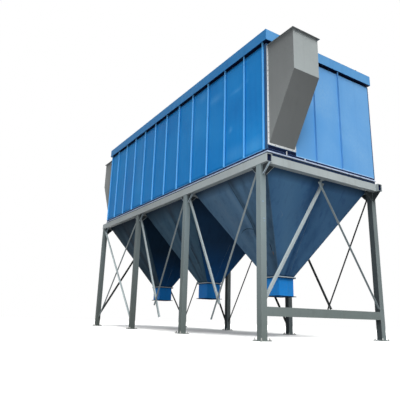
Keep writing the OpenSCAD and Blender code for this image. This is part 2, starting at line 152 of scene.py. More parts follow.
def bandMask(tree, place, grain, low, high):
    # Mask of |z - middle| < half the band's height, broken up by the grain
    away = combine(tree, "SUBTRACT", heightOf(tree, place), (low + high) / 2)
    inside = combine(tree, "LESS_THAN", combine(tree, "ABSOLUTE", away, 0.0), (high - low) / 2)
    return times(tree, inside, spread(tree, grain, *weather["bandGrain"]))


def paintedSteel(name, given):
    # Weathered paint: cloudy tone, run marks down the sheet, dust that lies on upward faces and in patches,
    # rust specks, worn edges (a painted highlight on the gussets), and a bump of shallow dents under fine
    # orange peel
    look = {**usualPaint, **given}
    material, tree, shader, place = newMaterial(name)
    normal = addNode(tree, "ShaderNodeNewGeometry").outputs["Normal"]
    clouds = noise(tree, place, look["cloudScale"], weather["cloudDetail"], distortion=weather["cloudTwist"])
    grain = noise(tree, place, weather["grainScale"], weather["grainDetail"])
    runs = noise(tree, place, weather["runScale"], weather["runDetail"], stretch=weather["runStretch"])
    fine = noise(tree, place, weather["fineScale"])
    color = tint(tree, look["base"], spread(tree, clouds, *weather["cloudStep"]), look["shade"])
    color = tint(tree, color, spread(tree, runs, *weather["runStep"], 0.0, look["runs"]), look["dirt"])
    patches = times(tree, spread(tree, clouds, *weather["patchClouds"]),
                    spread(tree, grain, *weather["patchGrain"]))
    upward = spread(tree, heightOf(tree, normal), *weather["upStep"], 0.0, look["dustTop"])
    dusty = combine(tree, "MAXIMUM", times(tree, patches, look["dusty"]), times(tree, upward, grain))
    color = tint(tree, color, dusty, look["dust"])
    specks = times(tree, spread(tree, grain, *weather["speckGrain"]),
                   spread(tree, clouds, *weather["speckClouds"]))
    color = tint(tree, color, times(tree, specks, look["rust"]), weather["rustTone"])
    # Tinted edges: wear on most paints, and a painted highlight on the gussets
    if look["edge"] > 0:
        color = tint(tree, color, edgeWearAndHighlight(tree, normal, fine, look), look["edgeTone"])
    if "band" in look:  # foot, top and tone of a stripe
        low, high, tone = look["band"]
        color = tint(tree, color, bandMask(tree, place, grain, low, high), tone)
    if "stainsAndPaintedLight" in look:  # tones of the piece's own stains and painted shade above 0, and of its painted highlights and reflections below 0
        stain = addNode(tree, "ShaderNodeAttribute", attribute_name="stain").outputs["Fac"]
        ragged = spread(tree, runs, *weather["stainShadeRuns"])
        for most, tone in zip((1.0, -1.0), look["stainsAndPaintedLight"]):
            color = tint(tree, color, times(tree, spread(tree, stain, 0.0, most), ragged), tone)
    if "sootAndShade" in look:  # heights where the darkening begins and is full, and its tone: painted shade under the ring on the hoppers, darker towards the bottom on the columns
        start, full, tone = look["sootAndShade"]
        sootShadeMask = spread(tree, heightOf(tree, place), start, full, 0.0, weather["sootShadeMost"])
        color = tint(tree, color, sootShadeMask, tone)
    tree.links.new(color, shader.inputs["Base Color"])
    shader.inputs["Specular IOR Level"].default_value = look["specular"]
    glossRange = (look["roughness"] - weather["glossier"], look["roughness"] + weather["duller"])
    rough = spread(tree, clouds, *weather["glossClouds"], *glossRange)
    rough = combine(tree, "ADD", rough, times(tree, dusty, weather["dustRoughness"]))
    tree.links.new(rough, shader.inputs["Roughness"])
    dents = noise(tree, place, look["dentScale"], weather["dentDetail"])
    dented = addBump(tree, dents, look["dents"], weather["dentDepth"])
    tree.links.new(addBump(tree, fine, look["peel"], weather["peelDepth"], dented), shader.inputs["Normal"])
    return material


def corners(nodeName):
    low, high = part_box(nodeName)
    return np.array(low), np.array(high)


def edgeBand(height, below, above, tone):
    return height - below, height + above, tone


footBase, footTop = (float(corner[2]) for corner in corners("foot_frame"))
rimTop = float(corners("hopper_rim")[1][2])
outletBase = float(corners("outlet_1")[0][2])
hopperFace = dict(dents=0.5, dentScale=1.5, cloudScale=0.6)

paintLooks = {
    # Its pale stain tone paints the reflections on the front wall's panels
    "housingBlue": dict(base=(0.004, 0.178, 0.51), shade=(0.016, 0.225, 0.575), dirt=(0.006, 0.12, 0.38),
        dust=(0.055, 0.28, 0.6), dusty=0.2, runs=0.2, rust=0.02, roughness=0.38, specular=0.04, dents=0.4,
        dentScale=1.1, cloudScale=0.38, stainsAndPaintedLight=((0.006, 0.11, 0.36), (0.16, 0.45, 0.74)),
        band=edgeBand(footTop, 0.001, 0.02, (0.16, 0.4, 0.72))),
    # A lighter copy of the housing blue, as painted sheen on the end walls
    "endSheenBlue": dict(base=(0.085, 0.275, 0.575), shade=(0.115, 0.31, 0.6), dirt=(0.055, 0.2, 0.48),
        dust=(0.2, 0.38, 0.6), dusty=0.4, runs=0.18, rust=0.02, roughness=0.4, specular=0.15, dents=0.4,
        dentScale=0.9, band=edgeBand(footTop, 0.001, 0.02, (0.3, 0.5, 0.75))),
    "ribBlue": dict(base=(0.105, 0.39, 0.735), shade=(0.08, 0.355, 0.71), dirt=(0.03, 0.16, 0.45),
        dust=(0.3, 0.5, 0.7), rust=0.03, roughness=0.4, specular=0.15, edge=0.5, edgeTone=(0.4, 0.55, 0.7),
        dents=0.1),
    "roofBlue": dict(base=(0.022, 0.185, 0.46), shade=(0.035, 0.21, 0.49), dirt=(0.01, 0.08, 0.25),
        dust=(0.2, 0.34, 0.5), dusty=0.2, dustTop=0.6, rust=0.05, roughness=0.42, specular=0.06, edge=0.7,
        edgeTone=(0.012, 0.06, 0.17), edgeWidth=0.02, dents=0.2),
    # A lighter copy of the roof blue, as painted light on the fascia's ends
    "fasciaPale": dict(base=(0.07, 0.25, 0.52), shade=(0.09, 0.28, 0.55), dirt=(0.04, 0.17, 0.42),
        dust=(0.2, 0.36, 0.56), dusty=0.35, runs=0.3, rust=0.04, roughness=0.42, specular=0.1, dents=0.3),
    # Near black, as painted shade: the slot under the fascia, the fascia's underside, the open tube ends and
    # the strip under the near hood
    "recessNavy": dict(base=(0.002, 0.006, 0.026), shade=(0.003, 0.01, 0.036), dirt=(0.004, 0.004, 0.01),
        dust=(0.03, 0.05, 0.09), dusty=0.1, roughness=0.6, dents=0.1),
    # Dark slate, as painted shade at the housing's corners
    "cornerSlate": dict(base=(0.035, 0.085, 0.17), shade=(0.025, 0.065, 0.14), dirt=(0.015, 0.03, 0.06),
        dust=(0.08, 0.14, 0.22), dusty=0.2, dents=0.1),
    "hoodFar": dict(base=(0.245, 0.26, 0.262), shade=(0.205, 0.22, 0.222), dirt=(0.12, 0.125, 0.12),
        dust=(0.34, 0.36, 0.36), runs=0.15, rust=0.06, specular=0.12, edge=0.5, edgeTone=(0.5, 0.53, 0.53),
        dents=0.2, dentScale=1.4),
    # A lighter copy of the hood grey, as painted light on the hoods' upright outer faces
    "hoodPale": dict(base=(0.31, 0.345, 0.35), shade=(0.27, 0.3, 0.305), dirt=(0.18, 0.19, 0.185),
        dust=(0.4, 0.42, 0.42), dusty=0.35, rust=0.06, specular=0.1, dents=0.2, dentScale=1.4),
    # Near black, as painted shade in the recess of the housing foot, above its pale flange
    "footShadeNavy": dict(base=(0.003, 0.01, 0.045), shade=(0.005, 0.016, 0.065), dirt=(0.01, 0.01, 0.02),
        dust=(0.06, 0.08, 0.12), dusty=0.15, rust=0.2, specular=0.08, dents=0.1,
        band=edgeBand(footBase, 0.001, 0.042, (0.42, 0.49, 0.62))),
    "rimNavy": dict(base=(0.01, 0.024, 0.06), shade=(0.014, 0.03, 0.075), dirt=(0.02, 0.02, 0.02),
        dust=(0.1, 0.12, 0.14), dusty=0.25, rust=0.3, roughness=0.58, specular=0.08, edge=0.5,
        edgeTone=(0.2, 0.22, 0.24), dents=0.1, band=edgeBand(rimTop, 0.009, 0.001, (0.16, 0.18, 0.18))),
    # Hoppers 2 and 3 are painted darker than hopper 1, as painted shade deepening away from the near end;
    # the near faces of hoppers 2 and 3 are near black as painted shade between the hoppers
    "hopperSlate1": dict(hopperFace, base=(0.085, 0.168, 0.275), shade=(0.065, 0.138, 0.235),
        dirt=(0.02, 0.05, 0.11), dust=(0.18, 0.25, 0.33), dusty=0.45, runs=0.45, rust=0.06, specular=0.06,
        stainsAndPaintedLight=((0.016, 0.034, 0.055), (0.15, 0.25, 0.36)), sootAndShade=(3.8, 4.0, (0.012, 0.022, 0.038))),
    "hopperNear1": dict(hopperFace, base=(0.072, 0.182, 0.35), shade=(0.055, 0.155, 0.32),
        dirt=(0.02, 0.07, 0.18), dust=(0.16, 0.25, 0.36), dusty=0.4, runs=0.45, rust=0.04, specular=0.06,
        stainsAndPaintedLight=((0.008, 0.05, 0.15), (0.12, 0.26, 0.42)), sootAndShade=(3.8, 4.0, (0.012, 0.03, 0.06))),
    "hopperSlate2": dict(hopperFace, base=(0.058, 0.125, 0.19), shade=(0.04, 0.1, 0.165),
        dirt=(0.014, 0.035, 0.075), dust=(0.12, 0.17, 0.22), dusty=0.45, runs=0.5, rust=0.06, roughness=0.6,
        stainsAndPaintedLight=((0.01, 0.024, 0.045), (0.11, 0.18, 0.25)), sootAndShade=(3.6, 4.0, (0.008, 0.016, 0.03))),
    "hopperNear2": dict(hopperFace, base=(0.014, 0.046, 0.105), shade=(0.01, 0.034, 0.085),
        dirt=(0.006, 0.014, 0.035), dust=(0.04, 0.08, 0.13), dusty=0.25, runs=0.4, rust=0.03,
        stainsAndPaintedLight=((0.004, 0.012, 0.03), (0.012, 0.125, 0.4)), sootAndShade=(3.5, 4.0, (0.006, 0.012, 0.025))),
    "hopperSlate3": dict(hopperFace, base=(0.032, 0.066, 0.1), shade=(0.022, 0.052, 0.082),
        dirt=(0.008, 0.018, 0.034), dust=(0.055, 0.09, 0.125), dusty=0.35, runs=0.5, rust=0.06,
        roughness=0.62, stainsAndPaintedLight=((0.005, 0.011, 0.02), (0.06, 0.105, 0.15)),
        sootAndShade=(3.5, 4.0, (0.006, 0.012, 0.022))),
    "hopperNear3": dict(hopperFace, base=(0.009, 0.028, 0.058), shade=(0.006, 0.02, 0.045),
        dirt=(0.004, 0.01, 0.02), dust=(0.03, 0.05, 0.08), dusty=0.25, runs=0.4, rust=0.03,
        stainsAndPaintedLight=((0.003, 0.008, 0.018), (0.012, 0.1, 0.3)), sootAndShade=(3.5, 4.0, (0.004, 0.01, 0.018))),
    # Near black, as painted shade under the outlets' upper flanges and at their lower flanges
    "seamGrime": dict(base=(0.006, 0.012, 0.025), shade=(0.009, 0.018, 0.032), dirt=(0.004, 0.006, 0.01),
        dust=(0.03, 0.045, 0.06), dusty=0.2, roughness=0.7, specular=0.04),
    "foldShade": dict(base=(0.016, 0.029, 0.047), shade=(0.024, 0.042, 0.064), dirt=(0.008, 0.014, 0.022),
        dust=(0.05, 0.07, 0.09), rust=0.08, roughness=0.65),
    # Pale, as a painted highlight on the edges of the outlet flanges and the gussets
    "brightEdge": dict(base=(0.5, 0.6, 0.67), shade=(0.42, 0.51, 0.58), dirt=(0.2, 0.23, 0.25),
        dust=(0.52, 0.58, 0.6), rust=0.04, specular=0.12),
    "shadeGrey": dict(base=(0.07, 0.084, 0.089), shade=(0.048, 0.06, 0.065), dirt=(0.02, 0.022, 0.022),
        dust=(0.1, 0.11, 0.11), runs=0.4, rust=0.2, roughness=0.6, specular=0.06),
    # A much darker copy of the brace grey, as painted shade on the braces at the back and the far end
    "backBraceShade": dict(base=(0.035, 0.04, 0.042), shade=(0.02, 0.023, 0.025), dirt=(0.01, 0.01, 0.01),
        dust=(0.1, 0.1, 0.1), dusty=0.2, rust=0.3, roughness=0.6, specular=0.06),
    "scuffPale": dict(base=(0.2, 0.28, 0.36), shade=(0.15, 0.22, 0.3), dirt=(0.08, 0.12, 0.16),
        dust=(0.3, 0.34, 0.38), roughness=0.6, specular=0.08),
    "ochreStain": dict(base=(0.2, 0.13, 0.06), shade=(0.13, 0.08, 0.04), dirt=(0.05, 0.04, 0.03),
        dust=(0.2, 0.18, 0.15), dusty=0.2, rust=0.5, roughness=0.75, specular=0.04),
    # Its dark stripe at the foot is painted shade at the lower flange
    "outletBlue": dict(base=(0.008, 0.21, 0.66), shade=(0.012, 0.25, 0.72), dirt=(0.01, 0.08, 0.25),
        dust=(0.2, 0.32, 0.45), dusty=0.12, roughness=0.4, specular=0.08, edge=0.3,
        edgeTone=(0.3, 0.42, 0.5), edgeWidth=0.006, dents=0.1,
        band=edgeBand(outletBase, 0.001, 0.011, (0.01, 0.03, 0.07))),
    "ringGrey": dict(base=(0.335, 0.375, 0.385), shade=(0.29, 0.325, 0.335), dirt=(0.2, 0.21, 0.19),
        dust=(0.5, 0.51, 0.5), runs=0.3, rust=0.18, specular=0.15, edge=0.6, edgeTone=(0.6, 0.64, 0.64),
        dents=0.06),
    "columnGrey": dict(base=(0.182, 0.226, 0.237), shade=(0.148, 0.188, 0.2), dirt=(0.1, 0.115, 0.11),
        dust=(0.3, 0.33, 0.33), runs=0.35, rust=0.2, specular=0.12, edge=0.6, edgeTone=(0.5, 0.54, 0.54),
        dents=0.06, sootAndShade=(2.8, 0.0, (0.095, 0.112, 0.104))),
    "braceGrey": dict(base=(0.3, 0.35, 0.365), shade=(0.24, 0.285, 0.3), dirt=(0.12, 0.12, 0.11),
        dust=(0.42, 0.43, 0.42), specular=0.12, edge=0.5, edgeTone=(0.52, 0.55, 0.55), edgeWidth=0.004),
    # A darker copy of the column grey, as painted shade on the far front columns
    "farShadeGrey": dict(base=(0.135, 0.165, 0.17), shade=(0.11, 0.135, 0.14), dirt=(0.08, 0.09, 0.085),
        dust=(0.24, 0.26, 0.255), runs=0.35, rust=0.15, specular=0.1, edge=0.5, edgeTone=(0.42, 0.46, 0.46),
        dents=0.06, sootAndShade=(2.8, 0.0, (0.07, 0.08, 0.074))),
    # A darker copy of the column grey, as painted shade on the back columns
    "backShadeGrey": dict(base=(0.15, 0.18, 0.185), shade=(0.115, 0.14, 0.145), dirt=(0.07, 0.08, 0.08),
        dust=(0.22, 0.24, 0.24), runs=0.35, rust=0.2, roughness=0.58, specular=0.1, edge=0.6,
        edgeTone=(0.4, 0.44, 0.44), dents=0.06),
    # Near black, as painted shade on the gusset faces, with light edges as a painted highlight
    "gussetShade": dict(base=(0.035, 0.042, 0.046), shade=(0.05, 0.06, 0.064), dirt=(0.02, 0.02, 0.02),
        dust=(0.12, 0.13, 0.13), dusty=0.2, rust=0.3, roughness=0.6, specular=0.08, edge=1.0,
        edgeTone=(0.5, 0.54, 0.54), edgeWidth=0.007),
    # A darker copy of the far hood's grey, as painted shade on the near hood
    "hoodShadeGrey": dict(base=(0.18, 0.19, 0.19), shade=(0.15, 0.16, 0.162), dirt=(0.12, 0.125, 0.12),
        dust=(0.34, 0.36, 0.36), runs=0.15, rust=0.06, specular=0.12, edge=0.5, edgeTone=(0.5, 0.53, 0.53),
        dents=0.2, dentScale=1.4),
    "flangeWhite": dict(base=(0.62, 0.65, 0.67), shade=(0.54, 0.57, 0.59), dirt=(0.3, 0.29, 0.27),
        dust=(0.5, 0.5, 0.49), specular=0.15),
}
paints = {name: paintedSteel(name, look) for name, look in paintLooks.items()}


# Bare metal and rubber

metals = {
    "zincBolt": dict(tone=(0.42, 0.43, 0.42), roughness=0.45, stain=(0.2, 0.195, 0.185)),
    "castValve": dict(tone=(0.72, 0.73, 0.74), roughness=0.42, stain=(0.5, 0.5, 0.5)),
}
metalLook = dict(grainScale=90.0, grainDetail=4.0, patchScale=6.0, patchDetail=5.0, patchStep=(0.45, 0.7),
                 glossStep=(0.3, 0.7), glossier=0.08, duller=0.12, metallic=0.85, bump=0.15, bumpDepth=0.001)
rubberLook = dict(tone=(0.02, 0.02, 0.02), paler=(0.048, 0.048, 0.048), patchScale=5.0, patchDetail=5.0,
                  patchStep=(0.4, 0.7), glossStep=(0.3, 0.7), glossRange=(0.6, 0.8))


def bareMetal(name, tone, roughness, stain):
    # Metal with a fine brushed grain and patches of stain
    look = metalLook
    material, tree, shader, place = newMaterial(name)
    grain = noise(tree, place, look["grainScale"], look["grainDetail"])
    patches = noise(tree, place, look["patchScale"], look["patchDetail"])
    color = tint(tree, tone, spread(tree, patches, *look["patchStep"]), stain)
    gloss = spread(tree, grain, *look["glossStep"], roughness - look["glossier"], roughness + look["duller"])
    tree.links.new(color, shader.inputs["Base Color"])
    tree.links.new(gloss, shader.inputs["Roughness"])
    shader.inputs["Metallic"].default_value = look["metallic"]
    tree.links.new(addBump(tree, grain, look["bump"], look["bumpDepth"]), shader.inputs["Normal"])
    return material


def plainRubber(name):
    # Dark rubber with chalky patches
    look = rubberLook
    material, tree, shader, place = newMaterial(name)
    patches = noise(tree, place, look["patchScale"], look["patchDetail"])
    color = tint(tree, look["tone"], spread(tree, patches, *look["patchStep"]), look["paler"])
    gloss = spread(tree, patches, *look["glossStep"], *look["glossRange"])
    tree.links.new(color, shader.inputs["Base Color"])
    tree.links.new(gloss, shader.inputs["Roughness"])
    return material


paints.update({name: bareMetal(name, **look) for name, look in metals.items()})
paints["blackRubber"] = plainRubber("blackRubber")
print("stage: materials made,", len(bpy.data.materials))


# Paints of the carried-over nodes, by the starts of their names

nodePaints = {
    "columnGrey": ("front_column_1", "front_column_2", "tie_beam"),
    "farShadeGrey": ("front_column_3", "front_column_4"),
    "backShadeGrey": ("back_column_",),
    "gussetShade": ("column_gussets",),
    "ringGrey": ("front_ring_beam", "back_ring_beam", "near_end_beam", "cross_beams"),
    "braceGrey": ("brace_plates", "front_braces_", "near_end_braces"),
    "backBraceShade": ("back_braces_", "far_end_braces"),
    "hopperSlate1": ("hopper_1",),
    "hopperSlate2": ("hopper_2",),
    "hopperSlate3": ("hopper_3",),
    "rimNavy": ("hopper_rim",),
    "outletBlue": ("outlet_",),
    "footShadeNavy": ("foot_frame",),
    "recessNavy": ("top_frame",),
    "ribBlue": ("front_wall", "back_wall"),
    "endSheenBlue": ("near_end_wall", "far_end_wall"),
    "roofBlue": ("roof_", "air_header"),
    "shadeGrey": ("lifting_lugs",),
    "hoodShadeGrey": ("near_duct_hood",),
    "hoodFar": ("far_duct_hood",),
    "castValve": ("pulse_valves",),
}


def dressNodes():
    for paintName, starts in nodePaints.items():
        for nodeName, piece in nodes.items():
            if nodeName.startswith(starts):
                piece.data.materials.clear()
                piece.data.materials.append(paints[paintName])


dressNodes()


# Mesh helpers

def newObject(name, data):
    made = bpy.data.objects.new(name, data)
    bpy.context.collection.objects.link(made)
    return made


def makeMesh(name, points, faces, paint, slot, smooth=False):
    # points is an (n, 3) array and faces an (m, 4) array of corner numbers
    mesh = bpy.data.meshes.new(name)
    mesh.vertices.add(len(points))
    mesh.vertices.foreach_set("co", np.asarray(points, dtype=np.float32).ravel())
    mesh.loops.add(faces.size)
    mesh.loops.foreach_set("vertex_index", faces.astype(np.int32).ravel())
    mesh.polygons.add(len(faces))
    mesh.polygons.foreach_set("loop_start", np.arange(0, faces.size, faces.shape[1], dtype=np.int32))
    mesh.polygons.foreach_set("use_smooth", np.full(len(faces), smooth))
    mesh.update(calc_edges=True)
    mesh.validate()
    mesh.materials.append(paints[paint])
    piece = newObject(name, mesh)
    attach(piece, "root")
    return piece


def stainAndLightPiece(piece, values):
    # Writes each point's value of stain and of painted light and shade, which the paint reads
    stain = piece.data.attributes.new("stain", "FLOAT", "POINT")
    stain.data.foreach_set("value", values.astype(np.float32).ravel())


def gridFaces(rows, columns, closed=False):
    # Quads of a grid with that many points; closed joins the last row to the first
    i = np.arange(rows if closed else rows - 1)[:, None]
    j = np.arange(columns - 1)[None, :]
    after = (i + 1) % rows
    return np.stack([i * columns + j, after * columns + j, after * columns + j + 1, i * columns + j + 1],
                    axis=-1).reshape(-1, 4)


def closedSheets(fronts, backs):
    # Closed thin sheets. fronts and backs are (sheets, rows, columns, 3): each sheet gets its
    # front grid, its back grid turned over, and a strip along each of its four edges.
    sheets, rows, columns = fronts.shape[:3]
    front = gridFaces(rows, columns)
    number = np.arange(rows * columns).reshape(rows, columns)
    rim = np.concatenate([number[:, 0], number[-1, 1:], number[-2::-1, -1], number[0, -2:0:-1]])
    after = np.roll(rim, -1)
    back = rows * columns
    strip = np.stack([rim, after, after + back, rim + back], axis=-1)
    faces = np.concatenate([front[:, ::-1], front + back, strip])
    every = (faces[None] + np.arange(sheets)[:, None, None] * 2 * back).reshape(-1, 4)
    points = np.concatenate([fronts.reshape(sheets, -1, 3), backs.reshape(sheets, -1, 3)], axis=1)
    return points.reshape(-1, 3), every


def stampCopies(points, faces, centres, frames):
    # Copies of one small mesh: each point times its copy's frame (rows are the local axes),
    # plus the copy's centre
    placed = np.einsum("pk,nkd->npd", points, frames) + centres[:, None, :]
    every = faces[None] + (np.arange(len(centres)) * len(points))[:, None, None]
    return placed.reshape(-1, 3), every.reshape(-1, 4)


def tubeFaces(sides, levels):
    # Quads round a tube of an even number of sides, and those that close its two ends
    fan = np.arange(1, sides - 2, 2)
    lid = np.stack([np.zeros_like(fan), fan, fan + 1, fan + 2], axis=-1) * levels
    return np.concatenate([gridFaces(sides, levels, closed=True), lid[:, ::-1], lid + levels - 1])


def turnedSolid(radii, heights, sides=12, shape=None):
    # Closed solid of a profile carried round the local Z axis: (r cos a, r sin a, height). shape
    # gives, for each side, the factor on the radius at each level, so a level can be a hexagon.
    angle = np.arange(sides) * 2 * np.pi / sides
    levels = len(radii)
    factor = np.ones((sides, levels)) if shape is None else shape(angle)
    ring = np.asarray(radii)[None, :] * factor
    points = np.stack([ring * np.cos(angle)[:, None], ring * np.sin(angle)[:, None],
                       np.broadcast_to(heights, ring.shape)], axis=-1)
    return points.reshape(-1, 3), tubeFaces(sides, levels)


def boxSolid(lows, highs):
    # Closed boxes from (n, 3) arrays of low and high corners: low + (high - low) * pick
    lows, highs = np.atleast_2d(lows), np.atleast_2d(highs)
    pick = np.array([[0, 0, 0], [1, 0, 0], [1, 1, 0], [0, 1, 0], [0, 0, 1], [1, 0, 1], [1, 1, 1], [0, 1, 1]])
    points = lows[:, None, :] + (highs - lows)[:, None, :] * pick[None]
    faces = np.array([[3, 2, 1, 0], [4, 5, 6, 7], [0, 1, 5, 4], [1, 2, 6, 5], [2, 3, 7, 6], [3, 0, 4, 7]])
    every = faces[None] + (np.arange(len(lows)) * 8)[:, None, None]
    return points.reshape(-1, 3), every.reshape(-1, 4)


def boxPieces(name, spans, paint, slot):
    # One piece of boxes, each given by the two ends of its reach along X, Y and Z, in any order
    ends = np.sort(np.array(spans, dtype=float), axis=2)
    makeMesh(name, *boxSolid(ends[:, :, 0], ends[:, :, 1]), paint, slot)


def unit(vector):
    return np.asarray(vector) / np.linalg.norm(vector)


def joinMeshes(parts):
    points, faces, count = [], [], 0
    for p, f in parts:
        points.append(p)
        faces.append(f + count)
        count += len(p)
    return np.concatenate(points), np.concatenate(faces)


def axisFrames(axis, count):
    # The same local frame for each copy: local Z along one of the world's axes
    z = np.asarray(axis, dtype=float)
    x = np.array([0.0, 0.0, 1.0]) if abs(z[2]) < 0.5 else np.array([1.0, 0.0, 0.0])
    y = np.cross(z, x)
    return np.broadcast_to(np.stack([x, y, z]), (count, 3, 3))


# Main sizes, read from the frame

capHigh = corners("top_frame")[1]
bodyX, bodyY = capHigh[0], capHigh[1]  # half length and half width of the housing
wallLow, wallHigh = corners("front_wall")[0][2], corners("top_frame")[0][2]
roofTop = corners("roof_deck")[1][2]
ringBase = corners("front_ring_beam")[0][2]
squareWays = ((-1, -1), (1, -1), (1, 1), (-1, 1))
baseMargin = 0.07  # width of the base plates past the columns
basePlate = 0.02  # thickness of the base plates
print("stage: housing is", round(2 * bodyX, 3), "by", round(2 * bodyY, 3), "m")


def columnAt(side, k):
    # Middle of a column, the half side of its tube, and the height of its top
    low, high = corners(f"{side}_column_{k}")
    return (low + high) / 2, (high[0] - low[0]) / 2 - baseMargin, high[2]


allColumns = [columnAt(side, k) for side in ("front", "back") for k in range(1, 5)]


def outletAt(k):
    # Low and high corners of an outlet, its middle, and the half side of its flanges
    low, high = corners(f"outlet_{k}")
    return low, high, (low + high) / 2, (high[0] - low[0]) / 2


# Wall panels: sheet between the ribs, slightly pillowed

panelLook = dict(panels=12, cornerRib=0.11, ribHalf=0.005, footGap=0.004, topGap=0.002, bulge=0.007,
                 leastBulge=0.25, fullWidth=0.7, lift=0.0015, wave=0.0025, slowWave=(5.0, 2.0),
                 quickWave=(9.0, -3.0), quickShare=0.6, rows=15, columns=33, seed=7)

# Soft marks on the front wall: distance from its near end, height over its foot, half width, half height,
# strength (dark marks above 0, painted reflections below 0)
wallMarks = [
    (1.49, 1.02, 0.07, 0.06, -0.5),
    (1.25, 2.06, 0.24, 0.05, -0.28),
    (0.85, 2.15, 0.2, 0.06, -0.2),
    (2.26, 2.25, 0.3, 0.1, -0.25),
    (2.95, 2.6, 0.25, 0.12, -0.22),
    (3.3, 1.7, 0.3, 0.5, -0.12),
    (0.5, 0.22, 0.4, 0.2, -0.2),
    (1.3, 0.25, 0.4, 0.2, -0.18),
    (0.6, 1.4, 0.4, 0.6, 0.35),
    (1.3, 1.5, 0.3, 0.35, 0.35),
    (5.3, 2.5, 0.08, 0.22, -0.3),
    (7.4, 1.4, 0.25, 1.0, -0.1),
]


def wallStainAndSheen(points):
    # Sum of the marks: strength * exp(-(dx / half width)^2 - (dz / half height)^2)
    total = np.zeros(len(points))
    for inward, rise, halfX, halfZ, strength in wallMarks:
        acrossX, acrossZ = (points[:, 0] - bodyX + inward) / halfX, (points[:, 2] - wallLow - rise) / halfZ
        total += strength * np.exp(-acrossX ** 2 - acrossZ ** 2)
    return total


def panelSheets(edges, side):
    # Sheets between neighbouring edges. Height above the wall = lift + sin(pi u) * sin(pi v) *
    # (bulge + two slow waves), never below lift, where u runs across and v up.
    look = panelLook
    random = np.random.default_rng(look["seed"] + side)
    starts = np.asarray(edges[:-1]) + look["ribHalf"]
    wide = np.asarray(edges[1:]) - look["ribHalf"] - starts
    u = np.linspace(0, 1, look["rows"])[None, :, None]
    v = np.linspace(0, 1, look["columns"])[None, None, :]
    bulge = random.uniform(look["leastBulge"], 1.0, (len(wide), 1, 1)) * look["bulge"]
    bulge = bulge * np.minimum(1, wide / look["fullWidth"])[:, None, None]
    turn = random.uniform(0, 2 * np.pi, (2, len(wide), 1, 1))
    slow, quick = (np.sin(alongV * v + alongU * u + turn[i])
                   for i, (alongV, alongU) in enumerate((look["slowWave"], look["quickWave"])))
    wave = look["wave"] * (slow + look["quickShare"] * quick)
    height = look["lift"] + np.sin(np.pi * u) * np.sin(np.pi * v) * np.maximum(bulge + wave, 0)
    across = starts[:, None, None] + wide[:, None, None] * u + 0 * v
    low, high = wallLow + look["footGap"], wallHigh - look["topGap"]
    up = low + (high - low) * v + 0 * across
    fronts = np.stack((across, side * (bodyY + height), up), axis=-1)
    backs = np.stack((across, side * bodyY + 0 * across, up), axis=-1)
    points, faces = closedSheets(fronts, backs)
    return points, (faces[:, ::-1] if side < 0 else faces)


def wallPanels():
    look = panelLook
    pitch = 2 * bodyX / look["panels"]
    ribs = [-bodyX + pitch * i for i in range(1, look["panels"])]
    edges = [-bodyX, -bodyX + look["cornerRib"], *ribs, bodyX - look["cornerRib"], bodyX]
    for tag, side in (("front", -1), ("back", 1)):
        points, faces = panelSheets(edges, side)
        piece = makeMesh(tag + "WallPanels", points, faces, "housingBlue", "housing_paint", smooth=True)
        if side < 0:
            stainAndLightPiece(piece, wallStainAndSheen(points))


wallPanels()
print("stage: wall panels")


# Hopper skins: each face is two sheets welded along a crooked seam, with folds, stains, and painted light
# and shade

hopperLook = dict(top=0.03, foot=0.014, lift=0.0012, back=0.0002, bulge=0.011, flatness=6, fade=0.06,
                  dent=0.008, dents=4, dentPlace=(0.15, 0.85), dentSize=(0.05, 0.11), dentShare=(-0.6, 1.0),
                  rows=49, columns=49, seed=21, seedStep=7, streakFade=0.08, markLift=0.0008,
                  markBack=0.0001, markRows=5, markColumns=41, smoothing=8, wobble=0.15, wobbleTurns=41.0)

# Seams as points (share down the face, share across it); the front faces run from the far side
# to the near one, and the near faces from front to back
hopperSeams = {
    (1, "front"): ((0, 0.5), (0.15, 0.52), (0.5, 0.595), (1, 0.5)),
    (2, "front"): ((0, 0.5), (0.17, 0.51), (0.28, 0.536), (0.5, 0.44), (0.97, 0.39), (1, 0.39)),
    (3, "front"): ((0, 0.42), (0.1, 0.41), (0.375, 0.37), (0.51, 0.44), (0.87, 0.645), (1, 0.62)),
    (1, "near"): ((0, 0.5), (0.73, 0.56), (0.95, 0.61), (1, 0.61)),
    (2, "near"): ((0, 0.55), (0.52, 0.59), (0.93, 0.54), (1, 0.54)),
    (3, "near"): ((0, 0.55), (0.74, 0.54), (0.99, 0.5), (1, 0.5)),
}
middleSeam = ((0, 0.5), (1, 0.5))  # on the faces that the photograph hides

